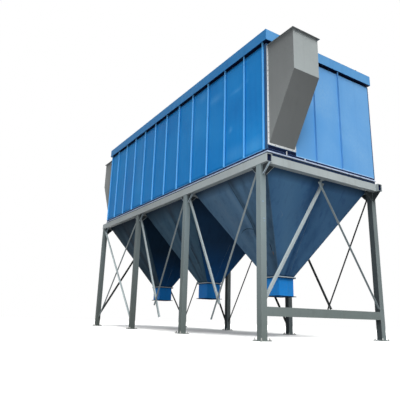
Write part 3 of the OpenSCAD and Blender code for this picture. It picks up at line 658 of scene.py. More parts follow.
# Lines on the faces: points as above, full widths along them in metres, paint
hopperMarks = {
    (1, "front"): [
        (((0.02, 0.502), (0.15, 0.52), (0.5, 0.595), (0.97, 0.505)),
         (0.02, 0.034, 0.034, 0.014), "foldShade"),
        (((0.55, 0.27), (0.525, 0.36), (0.515, 0.45), (0.525, 0.54), (0.55, 0.62)),
         (0.004, 0.02, 0.03, 0.024, 0.004), "foldShade"),
        (((0.69, 0.86), (0.72, 0.875), (0.76, 0.885)), (0.04, 0.11, 0.05), "foldShade"),
        (((0.765, 0.9), (0.78, 0.91), (0.8, 0.92)), (0.03, 0.08, 0.03), "ochreStain"),
    ],
    (1, "near"): [
        (((0.02, 0.501), (0.73, 0.56), (0.95, 0.61)), (0.008, 0.014, 0.01), "scuffPale"),
        (((0.4, 0.12), (0.43, 0.15), (0.46, 0.12)), (0.006, 0.014, 0.006), "scuffPale"),
    ],
    (2, "front"): [
        (((0.02, 0.501), (0.17, 0.51), (0.28, 0.536), (0.5, 0.44), (0.97, 0.39)),
         (0.02, 0.034, 0.05, 0.04, 0.018), "foldShade"),
        (((0.567, 0.677), (0.6, 0.695), (0.7, 0.745), (0.767, 0.775)),
         (0.02, 0.1, 0.11, 0.02), "foldShade"),
        (((0.76, 0.7), (0.765, 0.775), (0.76, 0.83)), (0.01, 0.03, 0.01), "foldShade"),
    ],
    (2, "near"): [
        (((0.52, 0.59), (0.93, 0.54)), (0.012, 0.012), "scuffPale"),
    ],
    (3, "front"): [
        (((0.02, 0.418), (0.1, 0.41), (0.375, 0.37), (0.51, 0.44), (0.87, 0.645), (0.98, 0.625)),
         (0.02, 0.03, 0.05, 0.12, 0.13, 0.03), "foldShade"),
    ],
    (3, "near"): [
        (((0.74, 0.54), (0.98, 0.5)), (0.014, 0.014), "scuffPale"),
    ],
}
faceNames = ("front", "near", "back", "far")

# Soft streaks: points as above, half width as a share of the face, strength (dark above 0: stains and
# painted shade along the seams, folds and dents, and the shadow of the brace bar on hopper 1's near face;
# pale below 0: painted highlights)
hopperStreaksAndShade = {
    (1, "front"): [
        (((0, 0.53), (0.15, 0.55), (0.5, 0.625), (0.8, 0.56)), 0.04, 0.8),
        (((0, 0.45), (0.2, 0.47), (0.5, 0.54), (0.7, 0.5)), 0.04, -0.45),
        (((0, 0.68), (0.3, 0.7), (0.6, 0.72)), 0.03, 0.3),
        (((0.53, 0.45), (0.56, 0.45)), 0.12, 0.35),
        (((0, 0.2), (0.4, 0.24), (0.8, 0.3)), 0.08, -0.25),
        (((0.1, 1.0), (0.5, 0.97), (1, 0.92)), 0.22, 0.55),
    ],
    (1, "near"): [
        (((0, 0.46), (0.25, 0.5), (0.5, 0.52), (0.8, 0.47), (1, 0.42)), 0.075, 0.75),
        (((0, 0.2), (0.5, 0.22), (0.9, 0.25)), 0.13, -0.4),
        (((0.55, 0.72), (1, 0.62)), 0.1, 0.35),
        (((0.88, 0.0), (0.88, 1.0)), 0.5, 0.35),
    ],
    (2, "front"): [
        (((0, 0.54), (0.17, 0.545), (0.28, 0.57), (0.5, 0.48), (0.9, 0.43)), 0.05, 0.85),
        (((0.52, 0.7), (0.78, 0.8)), 0.05, 0.7),
        (((0, 0.44), (0.3, 0.46), (0.6, 0.36)), 0.04, -0.5),
        (((0.3, 0.7), (0.6, 0.68), (0.8, 0.74)), 0.03, -0.45),
        (((0, 0.2), (0.5, 0.22), (0.9, 0.25)), 0.07, -0.3),
    ],
    (3, "front"): [
        (((0, 0.45), (0.375, 0.41), (0.51, 0.5), (0.87, 0.7)), 0.07, 0.8),
        (((0, 0.3), (0.4, 0.28), (0.8, 0.45)), 0.06, -0.5),
        (((0.2, 0.62), (0.5, 0.66), (0.7, 0.8)), 0.04, -0.4),
    ],
}
# Painted reflection: share of the depth from which the near faces of hoppers 2 and 3 turn brighter
footReflection = dict(start=0.5, power=1.3, strength=0.85, hoppers=(2, 3))


def stainAndShadeAt(k, face, u, v):
    # Sum of the streaks: strength * exp(-((u - path) / width)^2) * a fade past the path's ends, less the
    # brighter foot, a painted reflection, which grows as a power of the depth past its start
    total = np.zeros_like(u)
    for path, width, strength in hopperStreaksAndShade.get((k, face), ()):
        path = np.array(path, dtype=float)
        past = np.maximum(np.maximum(path[0, 0] - v, v - path[-1, 0]), 0) / hopperLook["streakFade"]
        across = (u - np.interp(v, path[:, 0], path[:, 1])) / width
        total = total + strength * np.exp(-across ** 2 - past ** 2)
    if face == "near" and k in footReflection["hoppers"]:
        depth = np.clip((v - footReflection["start"]) / (1 - footReflection["start"]), 0, 1)
        total = total - footReflection["strength"] * depth ** footReflection["power"]
    return np.clip(total, -1, 1)


def seamAt(k, face, v):
    # Place of the seam across the face, at each depth
    path = np.array(hopperSeams.get((k, face), middleSeam), dtype=float)
    return np.interp(v, path[:, 0], path[:, 1])


def skinHeight(u, v, seam, dents):
    # Height above the plate = lift + bulge * (1 - |2 t - 1| ^ flatness) * fade, where t runs from
    # 0 to 1 across each half, plus shallow dents, each a bell curve; never below half the lift
    look = hopperLook
    t = np.where(u < seam, u / seam, (u - seam) / (1 - seam))
    fade = np.clip(np.minimum(v, 1 - v) / look["fade"], 0, 1)
    height = look["bulge"] * (1 - np.abs(2 * t - 1) ** look["flatness"]) * fade
    for middleU, middleV, wide, tall, depth in dents:
        height = height - depth * np.exp(-((u - middleU) / wide) ** 2 - ((v - middleV) / tall) ** 2) * fade
    return look["lift"] + np.maximum(height, -look["lift"] / 2)


def facePoint(patch, u, v, height):
    # Bilinear point between the upper and the lower edge, moved out by the height
    upperA, upperB, lowerA, lowerB, outward = patch
    top = upperA + (upperB - upperA) * u[..., None]
    foot = lowerA + (lowerB - lowerA) * u[..., None]
    return top + (foot - top) * v[..., None] + outward * np.broadcast_to(height, u.shape)[..., None]


outletLook = dict(flange=0.05, edge=0.025, perSide=5, boltRadius=0.0105, headHeight=0.009,
                  nutHeight=0.012, flangePlate=0.01, highlightHeight=0.026, stripDepth=0.003, footShadeHeight=0.018,
                  underShadeHeight=0.02, shadeGap=0.0005, footDrop=0.001, underDrop=(0.0015, 0.0003))


def hopperRing(k, drop, rise):
    # Corners of the hopper's outer faces at its top less drop, and at its foot plus rise
    low, high = corners(f"hopper_{k}")
    middle, flangeHalf = outletAt(k)[2:]
    mouth = flangeHalf - outletLook["flange"]
    rings = []
    for z in (high[2] - drop, low[2] + rise):
        share = (z - low[2]) / (high[2] - low[2])
        halfX = mouth + ((high[0] - low[0]) / 2 - mouth) * share
        halfY = mouth + (high[1] - mouth) * share
        rings.append(np.array([[middle[0] + sx * halfX, sy * halfY, z] for sx, sy in squareWays]))
    return rings


def seamColumns(seam):
    # Places across the face, closer together at the seam and the edges: in each half
    # (1 - cos(pi r)) / 2 of its width, where r runs from 0 to 1
    r = 2 * np.linspace(0, 1, len(seam))[:, None]
    return np.where(r < 1, seam * (1 - np.cos(np.pi * r)) / 2,
                    seam + (1 - seam) * (1 - np.cos(np.pi * (r - 1))) / 2)


def hopperSkins():
    look = hopperLook
    marks = {}
    v = np.broadcast_to(np.linspace(0, 1, look["columns"]), (look["rows"], look["columns"]))
    for k in (1, 2, 3):
        upper, lower = hopperRing(k, look["top"], look["foot"])
        fronts, backs, stainsAndPaintedLight = [], [], []
        for i, face in enumerate(faceNames):
            j = (i + 1) % 4
            outward = np.cross(lower[i] - upper[i], upper[j] - upper[i])
            patch = (upper[i], upper[j], lower[i], lower[j], unit(outward))
            random = np.random.default_rng(look["seed"] + look["seedStep"] * k + i)
            dents = [(*random.uniform(*look["dentPlace"], 2), *random.uniform(*look["dentSize"], 2),
                      look["dent"] * random.uniform(*look["dentShare"])) for n in range(look["dents"])]
            seam = seamAt(k, face, v)
            u = seamColumns(seam)
            fronts.append(facePoint(patch, u, v, skinHeight(u, v, seam, dents)))
            backs.append(facePoint(patch, u, v, look["back"]))
            stainsAndPaintedLight.append(stainAndShadeAt(k, face, u, v))
            for path, widths, paint in hopperMarks.get((k, face), ()):
                marks.setdefault(paint, []).append(hopperMark(patch, path, widths, k, face, dents))
        # The near faces get their own paint; on hoppers 2 and 3 it is darker, as painted shade between the
        # hoppers
        for tag, chosen in (("", [0, 2, 3]), ("Near", [1])):
            paint = f"hopper{tag or 'Slate'}{k}"
            sheets = closedSheets(np.array(fronts)[chosen], np.array(backs)[chosen])
            piece = makeMesh(f"hopper{tag}Skin{k}", *sheets, paint, "hopper_paint", smooth=True)
            both = np.array(stainsAndPaintedLight)[chosen].reshape(len(chosen), -1)
            stainAndLightPiece(piece, np.concatenate([both, both], axis=1))
    for paint, sheets in marks.items():
        fronts, backs = (np.array(side) for side in zip(*sheets))
        makeMesh(paint + "Lines", *closedSheets(fronts, backs), paint, "hopper_paint")


def hopperMark(patch, path, widths, k, face, dents):
    # Thin closed strip that follows the skin along a smoothed path. Half width = the widths'
    # line / 2 * (1 - wobble + wobble * sin(wobbleTurns * s)), where s is the way along the path.
    look = hopperLook
    path = np.array(path, dtype=float)
    metres = np.array([np.linalg.norm(patch[2] - patch[0]), np.linalg.norm(patch[1] - patch[0])])
    run = np.concatenate([[0], np.cumsum(np.linalg.norm(np.diff(path, axis=0) * metres, axis=1))])
    s = np.linspace(0, run[-1], look["markColumns"])
    v, u = np.interp(s, run, path[:, 0]), np.interp(s, run, path[:, 1])
    for line in (v, u):
        for again in range(look["smoothing"]):
            line[1:-1] = (line[:-2] + 2 * line[1:-1] + line[2:]) / 4
    slope = np.stack([np.gradient(v * metres[0], s), np.gradient(u * metres[1], s)])
    slope = slope / np.linalg.norm(slope, axis=0)
    wobble = 1 - look["wobble"] + look["wobble"] * np.sin(s * look["wobbleTurns"])
    half = np.interp(s, run, widths) / 2 * wobble
    across = np.linspace(-1, 1, look["markRows"])[:, None]
    v = v - across * half * slope[1] / metres[0]
    u = u + across * half * slope[0] / metres[1]
    height = skinHeight(u, v, seamAt(k, face, v), dents)
    return tuple(facePoint(patch, u, v, height + lift) for lift in (look["markLift"], look["markBack"]))


hopperSkins()
print("stage: hopper skins")


# Bolts: hexagon heads on washers. Radii and heights are shares of the head's.

boltLook = dict(sides=12, washer=0.16, washerRadius=1.3, chamfer=0.9, crown=0.82)


def hexagon(angle):
    # Factors on the radius: 1 at the levels of the washer, and at the head's levels the
    # distance to a hexagon's side, cos 30 over cos of the angle from the side's middle
    bend = (angle % (np.pi / 3)) - np.pi / 6
    flats = math.cos(np.pi / 6) / np.cos(bend)
    disc = np.ones_like(flats)
    return np.stack([disc, disc, flats, flats, flats], axis=1)


def boltTemplate(radius, height):
    look = boltLook
    radii = [radius * share for share in (look["washerRadius"], look["washerRadius"], 1, 1, look["crown"])]
    heights = [height * share for share in (0, look["washer"], look["washer"], look["chamfer"], 1)]
    return turnedSolid(radii, heights, look["sides"], hexagon)


def boltRow(name, centres, axis, radius, height, slot):
    centres = np.asarray(centres, dtype=float)
    placed = stampCopies(*boltTemplate(radius, height), centres, axisFrames(axis, len(centres)))
    makeMesh(name, *placed, "zincBolt", slot)


anchorLook = dict(edge=0.035, nut=(0.019, 0.024), studRadii=(0.012, 0.012, 0.010),
                  studHeights=(0.0, 0.048, 0.051))


def anchorBolts():
    # Threaded studs with a nut, on the four holes of each base plate
    look = anchorLook
    off = baseMargin - look["edge"]  # past the tube
    centres = np.array([[middle[0] + sx * (half + off), middle[1] + sy * (half + off), basePlate]
                        for middle, half, top in allColumns for sx, sy in squareWays])
    frames = axisFrames((0, 0, 1), len(centres))
    shapes = (boltTemplate(*look["nut"]), turnedSolid(look["studRadii"], look["studHeights"]))
    parts = [stampCopies(*shape, centres, frames) for shape in shapes]
    makeMesh("anchorNuts", *joinMeshes(parts), "zincBolt", "frame_paint")


def outletBolts():
    # Bolt heads on the upper flange pair of each outlet, and nuts under it
    look = outletLook
    t = np.linspace(-1, 1, look["perSide"])
    ways = [(x, y) for x in t for y in t if max(abs(x), abs(y)) == 1]
    kinds = (("outletBoltHeads", 1, look["headHeight"]), ("outletNuts", -1, look["nutHeight"]))
    for name, up, height in kinds:
        spots = []
        for k in (1, 2, 3):
            high, middle, flangeHalf = outletAt(k)[1:]
            half = flangeHalf - look["edge"]
            spots += [[middle[0] + a * half, middle[1] + b * half, high[2] + up * look["flangePlate"]]
                      for a, b in ways]
        boltRow(name, spots, (0, 0, up), look["boltRadius"], height, "outlet_paint")


def boxRing(middle, half, depth, z0, z1):
    # Four boxes round a rectangle; half holds its two half sides
    (x, y), (hx, hy) = middle[:2], np.broadcast_to(half, 2)
    ox, oy = hx + depth, hy + depth
    lows = [[x - ox, y - oy, z0], [x - ox, y + hy, z0], [x - ox, y - hy, z0], [x + hx, y - hy, z0]]
    highs = [[x + ox, y - hy, z1], [x + ox, y + oy, z1], [x - hx, y + hy, z1], [x + ox, y + hy, z1]]
    return boxSolid(np.array(lows), np.array(highs))


def outletEdgeLightAndShade():
    # Painted highlight: pale edging round each upper flange pair; painted shade: dark edging under it and at
    # the lower flange
    look = outletLook
    pale, dark = [], []
    deep = look["stripDepth"]
    for k in (1, 2, 3):
        low, high, middle, half = outletAt(k)
        paleLow, paleHigh = high[2] - look["highlightHeight"] / 2, high[2] + look["highlightHeight"] / 2
        pale.append(boxRing(middle, half, deep, paleLow, paleHigh))
        dark.append(boxRing(middle, half, deep, paleLow - look["underShadeHeight"], paleLow - look["shadeGap"]))
        dark.append(boxRing(middle, half, deep, low[2] - look["footDrop"], low[2] + look["footShadeHeight"]))
        dark.append(boxRing(middle, half - look["flange"], look["flange"],
                            *(low[2] - drop for drop in look["underDrop"])))
    makeMesh("outletFlangeEdges", *joinMeshes(pale), "brightEdge", "outlet_paint")
    makeMesh("outletFootEdges", *joinMeshes(dark), "seamGrime", "outlet_paint")


anchorBolts()
outletBolts()
outletEdgeLightAndShade()


# Hoods: pale flange frame with its bolts, a pale upright face as painted light, and bolts round the open top

hoodLook = dict(flange=0.05, strip=0.003, stripGap=0.004, topGap=0.006, faceSheet=0.002, faceGap=0.0002,
                foldRise=1.72, foldGap=0.004, faceTopGap=0.008, boltPitch=0.14, topPitch=0.15,
                boltRadius=0.009, boltHeight=0.009, sideEnds=(0.03, 0.05), rowEnds=(0.1, 0.08),
                topEnds=(0.08, 0.04))


def boltSteps(low, high, ends, pitch):
    return np.arange(low + ends[0], high - ends[1], pitch)


def hoodFlanges():
    look = hoodLook
    f, bolt = look["flange"], (look["boltRadius"], look["boltHeight"], "hood_paint")
    for tag, side in (("near", 1), ("far", -1)):
        low, high = corners(f"{tag}_duct_hood")
        foot, top, y0, y1 = low[2], high[2], low[1], high[1]
        wall = side * bodyX
        strip = (wall + side * look["stripGap"], wall + side * (look["stripGap"] + look["strip"]))
        stripTop = top - look["topGap"]
        boxPieces(tag + "HoodFlange",
                  [(strip, (y0, y0 + f), (foot, stripTop)), (strip, (y1 - f, y1), (foot, stripTop)),
                   (strip, (y0 + f, y1 - f), (foot, foot + f))], "flangeWhite", "hood_paint")
        # Painted light: a pale sheet on the hood's upright outer face
        face = (high[0] if side > 0 else low[0]) - side * f
        sheet = (face + side * look["faceGap"], face + side * look["faceSheet"])
        rise = (wallLow + look["foldRise"] + look["foldGap"], top - look["faceTopGap"])
        boxPieces(tag + "HoodFace", [(sheet, (y0 + f, y1 - f), rise)], "hoodPale", "hood_paint")
        sides = (y0 + f / 2, y1 - f / 2)
        row = boltSteps(y0, y1, look["rowEnds"], look["boltPitch"])
        steps = boltSteps(foot, top, look["sideEnds"], look["boltPitch"])
        spots = [[strip[1], y, z] for y in sides for z in steps] + [[strip[1], y, foot + f / 2] for y in row]
        boltRow(tag + "HoodBolts", spots, (side, 0, 0), *bolt)
        x0, x1 = sorted((wall, face + side * f))
        steps = boltSteps(x0, x1, look["topEnds"], look["topPitch"])
        topSpots = [[x, y, top] for y in sides for x in steps] + [[face + side * f / 2, y, top] for y in row]
        boltRow(tag + "HoodTopBolts", topSpots, (0, 0, 1), *bolt)


hoodFlanges()
print("stage: bolts and flanges")


# Weld beads: a round cord with ripples laid along each joint

beadLook = dict(ripple=0.18, pitch=0.014, ringsPerRipple=2, leastRings=3, sides=8, hopperRadius=0.009,
                hopperFoot=0.01, outletRadius=0.004, columnRadius=0.006)


def weldBead(start, end, radius):
    # Tube along a straight line. Radius = radius * (1 + ripple * sin(2 pi s / pitch)).
    look = beadLook
    start, end = np.asarray(start, dtype=float), np.asarray(end, dtype=float)
    length = np.linalg.norm(end - start)
    steps = max(look["leastRings"], int(length / look["pitch"] * look["ringsPerRipple"]))
    s = np.linspace(0, length, steps)
    along = (end - start) / length
    side = unit(np.cross(along, [0.3, 0.5, 0.81]))  # any direction that no bead runs along
    other = np.cross(along, side)
    angle = np.arange(look["sides"]) * 2 * np.pi / look["sides"]
    ring = np.cos(angle)[:, None] * side + np.sin(angle)[:, None] * other
    size = radius * (1 + look["ripple"] * np.sin(2 * np.pi * s / look["pitch"]))
    points = start + s[None, :, None] * along + ring[:, None, :] * size[None, :, None]
    return points.reshape(-1, 3), tubeFaces(look["sides"], steps)


def beads(name, lines, radius, paint, slot):
    makeMesh(name, *joinMeshes([weldBead(a, b, radius) for a, b in lines]), paint, slot, smooth=True)


def squareLines(middle, half, z):
    # The four sides of a square
    ring = [[middle[0] + sx * half, middle[1] + sy * half, z] for sx, sy in squareWays]
    return [(ring[i], ring[(i + 1) % 4]) for i in range(4)]


def hopperBeads():
    # Beads down the corners of each hopper, and along the edges of each outlet
    look = beadLook
    plate = outletLook["flangePlate"]
    for k in (1, 2, 3):
        upper, lower = hopperRing(k, hopperLook["top"], look["hopperFoot"])
        beads(f"hopperBeads{k}", zip(lower, upper), look["hopperRadius"], f"hopperSlate{k}", "hopper_paint")
        low, high, middle, flangeHalf = outletAt(k)
        mouth = flangeHalf - outletLook["flange"]
        levels = (low[2] + plate, high[2] - plate, high[2] + plate)
        lines = [line for z in levels for line in squareLines((middle[0], 0), mouth, z)]
        lines += [[[middle[0] + a * mouth, b * mouth, z] for z in levels[:2]] for a, b in squareWays]
        beads(f"outletBeads{k}", lines, look["outletRadius"], "outletBlue", "outlet_paint")


def frameBeads():
    # Beads round each column at its base plate and under the ring
    lines = [line for middle, half, top in allColumns for z in (basePlate, ringBase)
             for line in squareLines(middle, half, z)]
    beads("columnBeads", lines, beadLook["columnRadius"], "columnGrey", "frame_paint")


hopperBeads()
frameBeads()
print("stage: weld beads")


# Small pieces of the frame and the housing

tubeShadeLook = dict(inset=0.03, depth=0.02, gap=0.009)
stripLook = dict(endWide=0.026, longWide=0.078, longDepth=0.0075, thin=0.0015, gap=0.004, hoodFoot=0.002,
                 hoodGap=0.008)
fasciaLook = dict(edge=0.006, sheet=0.0016, slotIn=0.04)
tickLook = dict(places=(-1.37, -0.75), half=0.012, depth=0.012, foot=0.05, tops=(0.05, -0.004))
# Scrapes on the near front column: place along Y, height, width, tallness
scrapeLook = dict(marks=((-2.03, 3.09, 0.05, 0.03), (-2.0, 2.69, 0.06, 0.02), (-1.99, 2.63, 0.04, 0.016)),
                  depth=0.0012)
shadeLook = dict(depth=0.0012, gap=0.004, topGap=0.001)
gussetLook = dict(leg=0.24, blunt=0.01, width=0.05, thick=0.004, nearGap=0.005)


def tubeEndShade():
    # Painted shade: dark blocks in the open ends of the ring tubes, where the tubes' insides lie in shade
    look = tubeShadeLook
    spans = []
    for tag in ("front", "back"):
        low, high = corners(tag + "_ring_beam")
        inside = [(low[axis] + look["gap"], high[axis] - look["gap"]) for axis in (1, 2)]
        spans += [((x, x + look["depth"]), *inside)
                  for x in (high[0] - look["inset"] - look["depth"], low[0] + look["inset"])]
    boxPieces("tubeEndShade", spans, "recessNavy", "dark_paint")


def cornerStrips():
    # Painted shade: dark strips on both faces at each corner of the housing
    look = stripLook
    rise = (wallLow + look["gap"], wallHigh - look["gap"])
    spans = []
    for sx, sy in ((-1, -1), (-1, 1), (1, -1), (1, 1)):
        endX, endY = sx * bodyX, sy * bodyY
        spans.append(((endX - sx * look["longWide"], endX), (endY, endY + sy * look["longDepth"]), rise))
        spans.append(((endX, endX + sx * look["thin"]), (endY - sy * look["endWide"], endY), rise))
    boxPieces("cornerStrips", spans, "cornerSlate", "housing_paint")


def fasciaSheets():
    # Painted shade on the underside of the fascia, and pale sheets on its ends as painted light
    look = fasciaLook
    low, high = corners("roof_fascia")
    edge, sheet = look["edge"], look["sheet"]
    inner = [bodyX - look["slotIn"], bodyY - look["slotIn"]]
    ring = boxRing([0, 0], inner, high[1] - edge - inner[1], low[2] - sheet, low[2] - sheet / 4)
    makeMesh("fasciaShade", *ring, "recessNavy", "housing_paint")
    spans = [((side * high[0], side * (high[0] + sheet)), (low[1] + edge, high[1] - edge),
              (low[2] + edge, high[2] - edge)) for side in (-1, 1)]
    boxPieces("fasciaEnds", spans, "fasciaPale", "housing_paint")


def wallFootPieces():
    # Painted shadow of the near hood as a dark strip under it, and stiffeners in the recess over the housing
    # foot
    look = stripLook
    hoodLow, hoodHigh = corners("near_duct_hood")
    strip = ((bodyX, bodyX + look["thin"]), (look["endWide"] - bodyY, hoodHigh[1]),
             (wallLow + look["hoodFoot"], hoodLow[2] - look["hoodGap"]))
    boxPieces("underHoodStrip", [strip], "recessNavy", "housing_paint")
    look = tickLook
    spans = [((bodyX, bodyX + look["depth"]), (y - look["half"], y + look["half"]),
              (footTop - look["foot"], footTop + top)) for y, top in zip(look["places"], look["tops"])]
    boxPieces("footStiffeners", spans, "flangeWhite", "housing_paint")


def columnPieces():
    # Scrapes on the near front column, and painted shade on the front faces of the back columns
    face = corners("near_end_braces")[1][0]
    spans = [((face, face + scrapeLook["depth"]), (y - wide / 2, y + wide / 2), (z - tall / 2, z + tall / 2))
             for y, z, wide, tall in scrapeLook["marks"]]
    boxPieces("columnScrapes", spans, "scuffPale", "frame_paint")
    look = shadeLook
    spans = []
    for middle, half, top in allColumns[4:]:
        reach, front = half - look["gap"], middle[1] - half
        spans.append(((middle[0] - reach, middle[0] + reach), (front - look["depth"], front),
                      (basePlate, top - look["topGap"])))
    boxPieces("backColumnShade", spans, "shadeGrey", "frame_paint")


def gussetEdges():
    # Painted highlight: bright flat bars along the slanted edges of the gussets at the front columns. Each
    # bar is a box whose local axes are the gusset's normal, its way out and down, and its slanted edge.
    look = gussetLook
    half = look["width"] / 2
    box, faces = boxSolid([[-half, 0, 0]], [[half, look["thick"], 1]])
    down = np.array([0.0, 0.0, -1.0])
    parts = []
    for k, (middle, reach, top) in enumerate(allColumns[:4], 1):
        inwardX = reach + look["nearGap"] if k == 1 else 0
        ways = [((1.0, 0, 0), (reach, 0)), ((0, 1.0, 0), (inwardX, reach))]
        if k < 4:  # the last column has no gusset on its far side
            ways.insert(1, ((-1.0, 0, 0), (-reach, 0)))
        for way, offset in ways:
            way = np.array(way)
            corner = middle[:2] + offset
            start = np.array([*corner, top - look["blunt"]]) + way * look["leg"]
            end = np.array([*corner, top - look["leg"]]) + way * look["blunt"]
            axes = np.stack([np.cross(way, down), (way + down) / math.sqrt(2), end - start])
            parts.append((box @ axes + start, faces))
    makeMesh("gussetEdges", *joinMeshes(parts), "brightEdge", "frame_paint")


tubeEndShade()
cornerStrips()
fasciaSheets()
wallFootPieces()
columnPieces()
gussetEdges()
print("stage: small pieces")


# Roof fittings: cover handles, clamps, gaskets, header ends and pilot valves

coverLook = dict(columns=6, gap=0.06, laneHalf=0.35)
handleLook = dict(span=0.2, rise=0.05, bar=0.007, sides=8, bend=0.02, bendSteps=5, aside=0.45, fromEdge=0.16)
clampLook = dict(pitch=0.42, first=0.15, fromEdge=0.03, radius=0.016, height=0.035)
gasketWidth = 0.012
headerLook = dict(radius=0.1095, dishTurn=0.96, dishDepth=0.5, dishSteps=8, dishSides=32)
valveLook = dict(capRadii=(0.05, 0.05, 0.046, 0.03, 0.03, 0.026),
                 capHeights=(0, 0.012, 0.016, 0.018, 0.03, 0.032), capSides=24,
                 pilotRadii=(0.016, 0.016, 0.013), pilotHeights=(0.03, 0.066, 0.07), pilotSides=16,
                 bolts=6, boltCircle=0.045, boltRadius=0.005, boltHeight=0.018)


def coverPlaces():
    # Middles of the covers along X, and half of a cover's length
    look = coverLook
    low, high = corners("roof_covers")
    length = (high[0] - low[0] - (look["columns"] - 1) * look["gap"]) / look["columns"]
    return low[0] + length / 2 + np.arange(look["columns"]) * (length + look["gap"]), length / 2


def bentTube(path, radius, sides):
    # Tube round a path of points that lies in one plane: path + radius * (cos a * the plane's
    # normal + sin a * the direction across both), with mitred bends and closed ends
    step = np.gradient(path, axis=0)
    along = step / np.linalg.norm(step, axis=1)[:, None]
    normal = unit(np.cross(path[1] - path[0], path[-1] - path[0]))
    angle = (np.arange(sides) * 2 * np.pi / sides)[:, None, None]
    points = path + radius * (np.cos(angle) * normal + np.sin(angle) * np.cross(along, normal))
    return points.reshape(-1, 3), tubeFaces(sides, len(path))


def handleShape():
    # Bar that rises, runs along X and comes down again, with round corners
    look = handleLook
    half, rise = look["span"] / 2, look["rise"]
    turn = np.linspace(0, np.pi / 2, look["bendSteps"])
    bend = look["bend"] * np.stack([1 - np.cos(turn), 0 * turn, np.sin(turn) - 1], axis=1)
    left, right = bend + [-half, 0, rise], bend[::-1] * [-1, 1, 1] + [half, 0, rise]
    path = np.concatenate([[[-half, 0, 0]], left, right, [[half, 0, 0]]])
    return bentTube(path, look["bar"], look["sides"])


def coverFittings():
    # Handles and clamps on the covers, and a gasket round each
    centresX, half = coverPlaces()
    high = corners("roof_covers")[1]
    steps = np.arange(clampLook["first"] - half, half, clampLook["pitch"])
    aside = handleLook["aside"]
    handles, clamps, seals = [], [], []
    for x in centresX:
        for y0, y1 in ((-high[1], -coverLook["laneHalf"]), (coverLook["laneHalf"], high[1])):
            lines = [(y0 + look["fromEdge"], y1 - look["fromEdge"]) for look in (handleLook, clampLook)]
            handles += [[x + dx, y, high[2]] for y in lines[0] for dx in (-aside, aside)]
            clamps += [[x + dx, y, high[2]] for y in lines[1] for dx in steps]
            seals.append(boxRing((x, (y0 + y1) / 2), (half, (y1 - y0) / 2), gasketWidth,
                                 roofTop, roofTop + gasketWidth))
    placed = stampCopies(*handleShape(), np.array(handles), axisFrames((0, 0, 1), len(handles)))
    makeMesh("coverHandles", *placed, "roofBlue", "housing_paint", smooth=True)
    boltRow("coverClamps", clamps, (0, 0, 1), clampLook["radius"], clampLook["height"], "housing_paint")
    makeMesh("coverGaskets", *joinMeshes(seals), "blackRubber", "dark_paint")


def headerFittings():
    # Dished ends on the header, and a cap with its pilot valve on each pulse valve. The dish is
    # an arc turned round the header's axis: radius * cos a, depth * radius * sin a.
    look = headerLook
    high = corners("air_header")[1]
    axisZ = high[2] - look["radius"]
    a = np.linspace(0, np.pi / 2 * look["dishTurn"], look["dishSteps"])
    depth = look["dishDepth"] * look["radius"]
    dish = turnedSolid(look["radius"] * np.cos(a), depth * np.sin(a), look["dishSides"])
    ends = [stampCopies(*dish, np.array([[side * high[0], 0, axisZ]]), axisFrames((side, 0, 0), 1))
            for side in (-1, 1)]
    makeMesh("headerEnds", *joinMeshes(ends), "roofBlue", "housing_paint", smooth=True)
    look = valveLook
    valveEnd, centresX = corners("pulse_valves")[1][1], coverPlaces()[0]
    shapes = [turnedSolid(look[part + "Radii"], look[part + "Heights"], look[part + "Sides"])
              for part in ("cap", "pilot")]
    turn = np.arange(look["bolts"]) * 2 * np.pi / look["bolts"]
    circle = look["boltCircle"] * np.stack([np.cos(turn), 0 * turn, np.sin(turn)], axis=1)
    parts = []
    for tag, side in (("Front", -1), ("Back", 1)):
        centres = np.array([[x, side * valveEnd, axisZ] for x in centresX])
        parts += [stampCopies(*shape, centres, axisFrames((0, side, 0), len(centres))) for shape in shapes]
        spots = (centres[:, None, :] + circle[None]).reshape(-1, 3)
        boltRow("valveBolts" + tag, spots, (0, side, 0), look["boltRadius"], look["boltHeight"],
                "valve_aluminium")
    makeMesh("valveCaps", *joinMeshes(parts), "castValve", "valve_aluminium")


coverFittings()
headerFittings()
print("stage: roof fittings")


# Stage: a plain pale floor that turns to white far out, and the camera and lamps

stageLook = dict(floorRadius=400.0, floorTone=(0.9, 0.9, 0.9), groundTone=(0.1, 0.1, 0.1),
                 fadeFrom=14.0, fadeTo=26.0, white=(1.0, 1.0, 1.0), skyTone=(0.96, 0.98, 1.0),
                 skyLow=0.26, skyHigh=1.0, sunFrom=(0.46, -0.15, 0.87), sunStrength=5.2, sunSpread=35.0,
                 sunTone=(1.0, 0.985, 0.96), fillFrom=(8.0, -6.5, 1.8), fillAt=(3.4, -1.1, 2.9),
                 fillPower=230.0, fillSize=5.0, fillTone=(0.93, 0.97, 1.0))


def emptyTree(owner, kind):
    # Node tree of a material or world with nothing but its output
    owner.use_nodes = True
    owner.node_tree.nodes.clear()
    return owner.node_tree, addNode(owner.node_tree, kind)


def plainShader(tree, kind, tone):
    made = addNode(tree, kind)
    made.inputs["Color"].default_value = (*tone, 1.0)
    return made


def splitRays(tree, lit, seen, out):
    # One shader for the light that falls on the object, another for what the camera sees,
    # straight or in a reflection
    ray = addNode(tree, "ShaderNodeLightPath").outputs
    direct = combine(tree, "ADD", ray["Is Camera Ray"], ray["Is Glossy Ray"])
    direct = combine(tree, "ADD", direct, ray["Is Transmission Ray"])
    pick = addNode(tree, "ShaderNodeMixShader")
    feed(tree, pick.inputs[0], combine(tree, "MINIMUM", direct, 1.0))
    tree.links.new(lit.outputs[0], pick.inputs[1])
    tree.links.new(seen.outputs[0], pick.inputs[2])
    tree.links.new(pick.outputs[0], out.inputs[0])


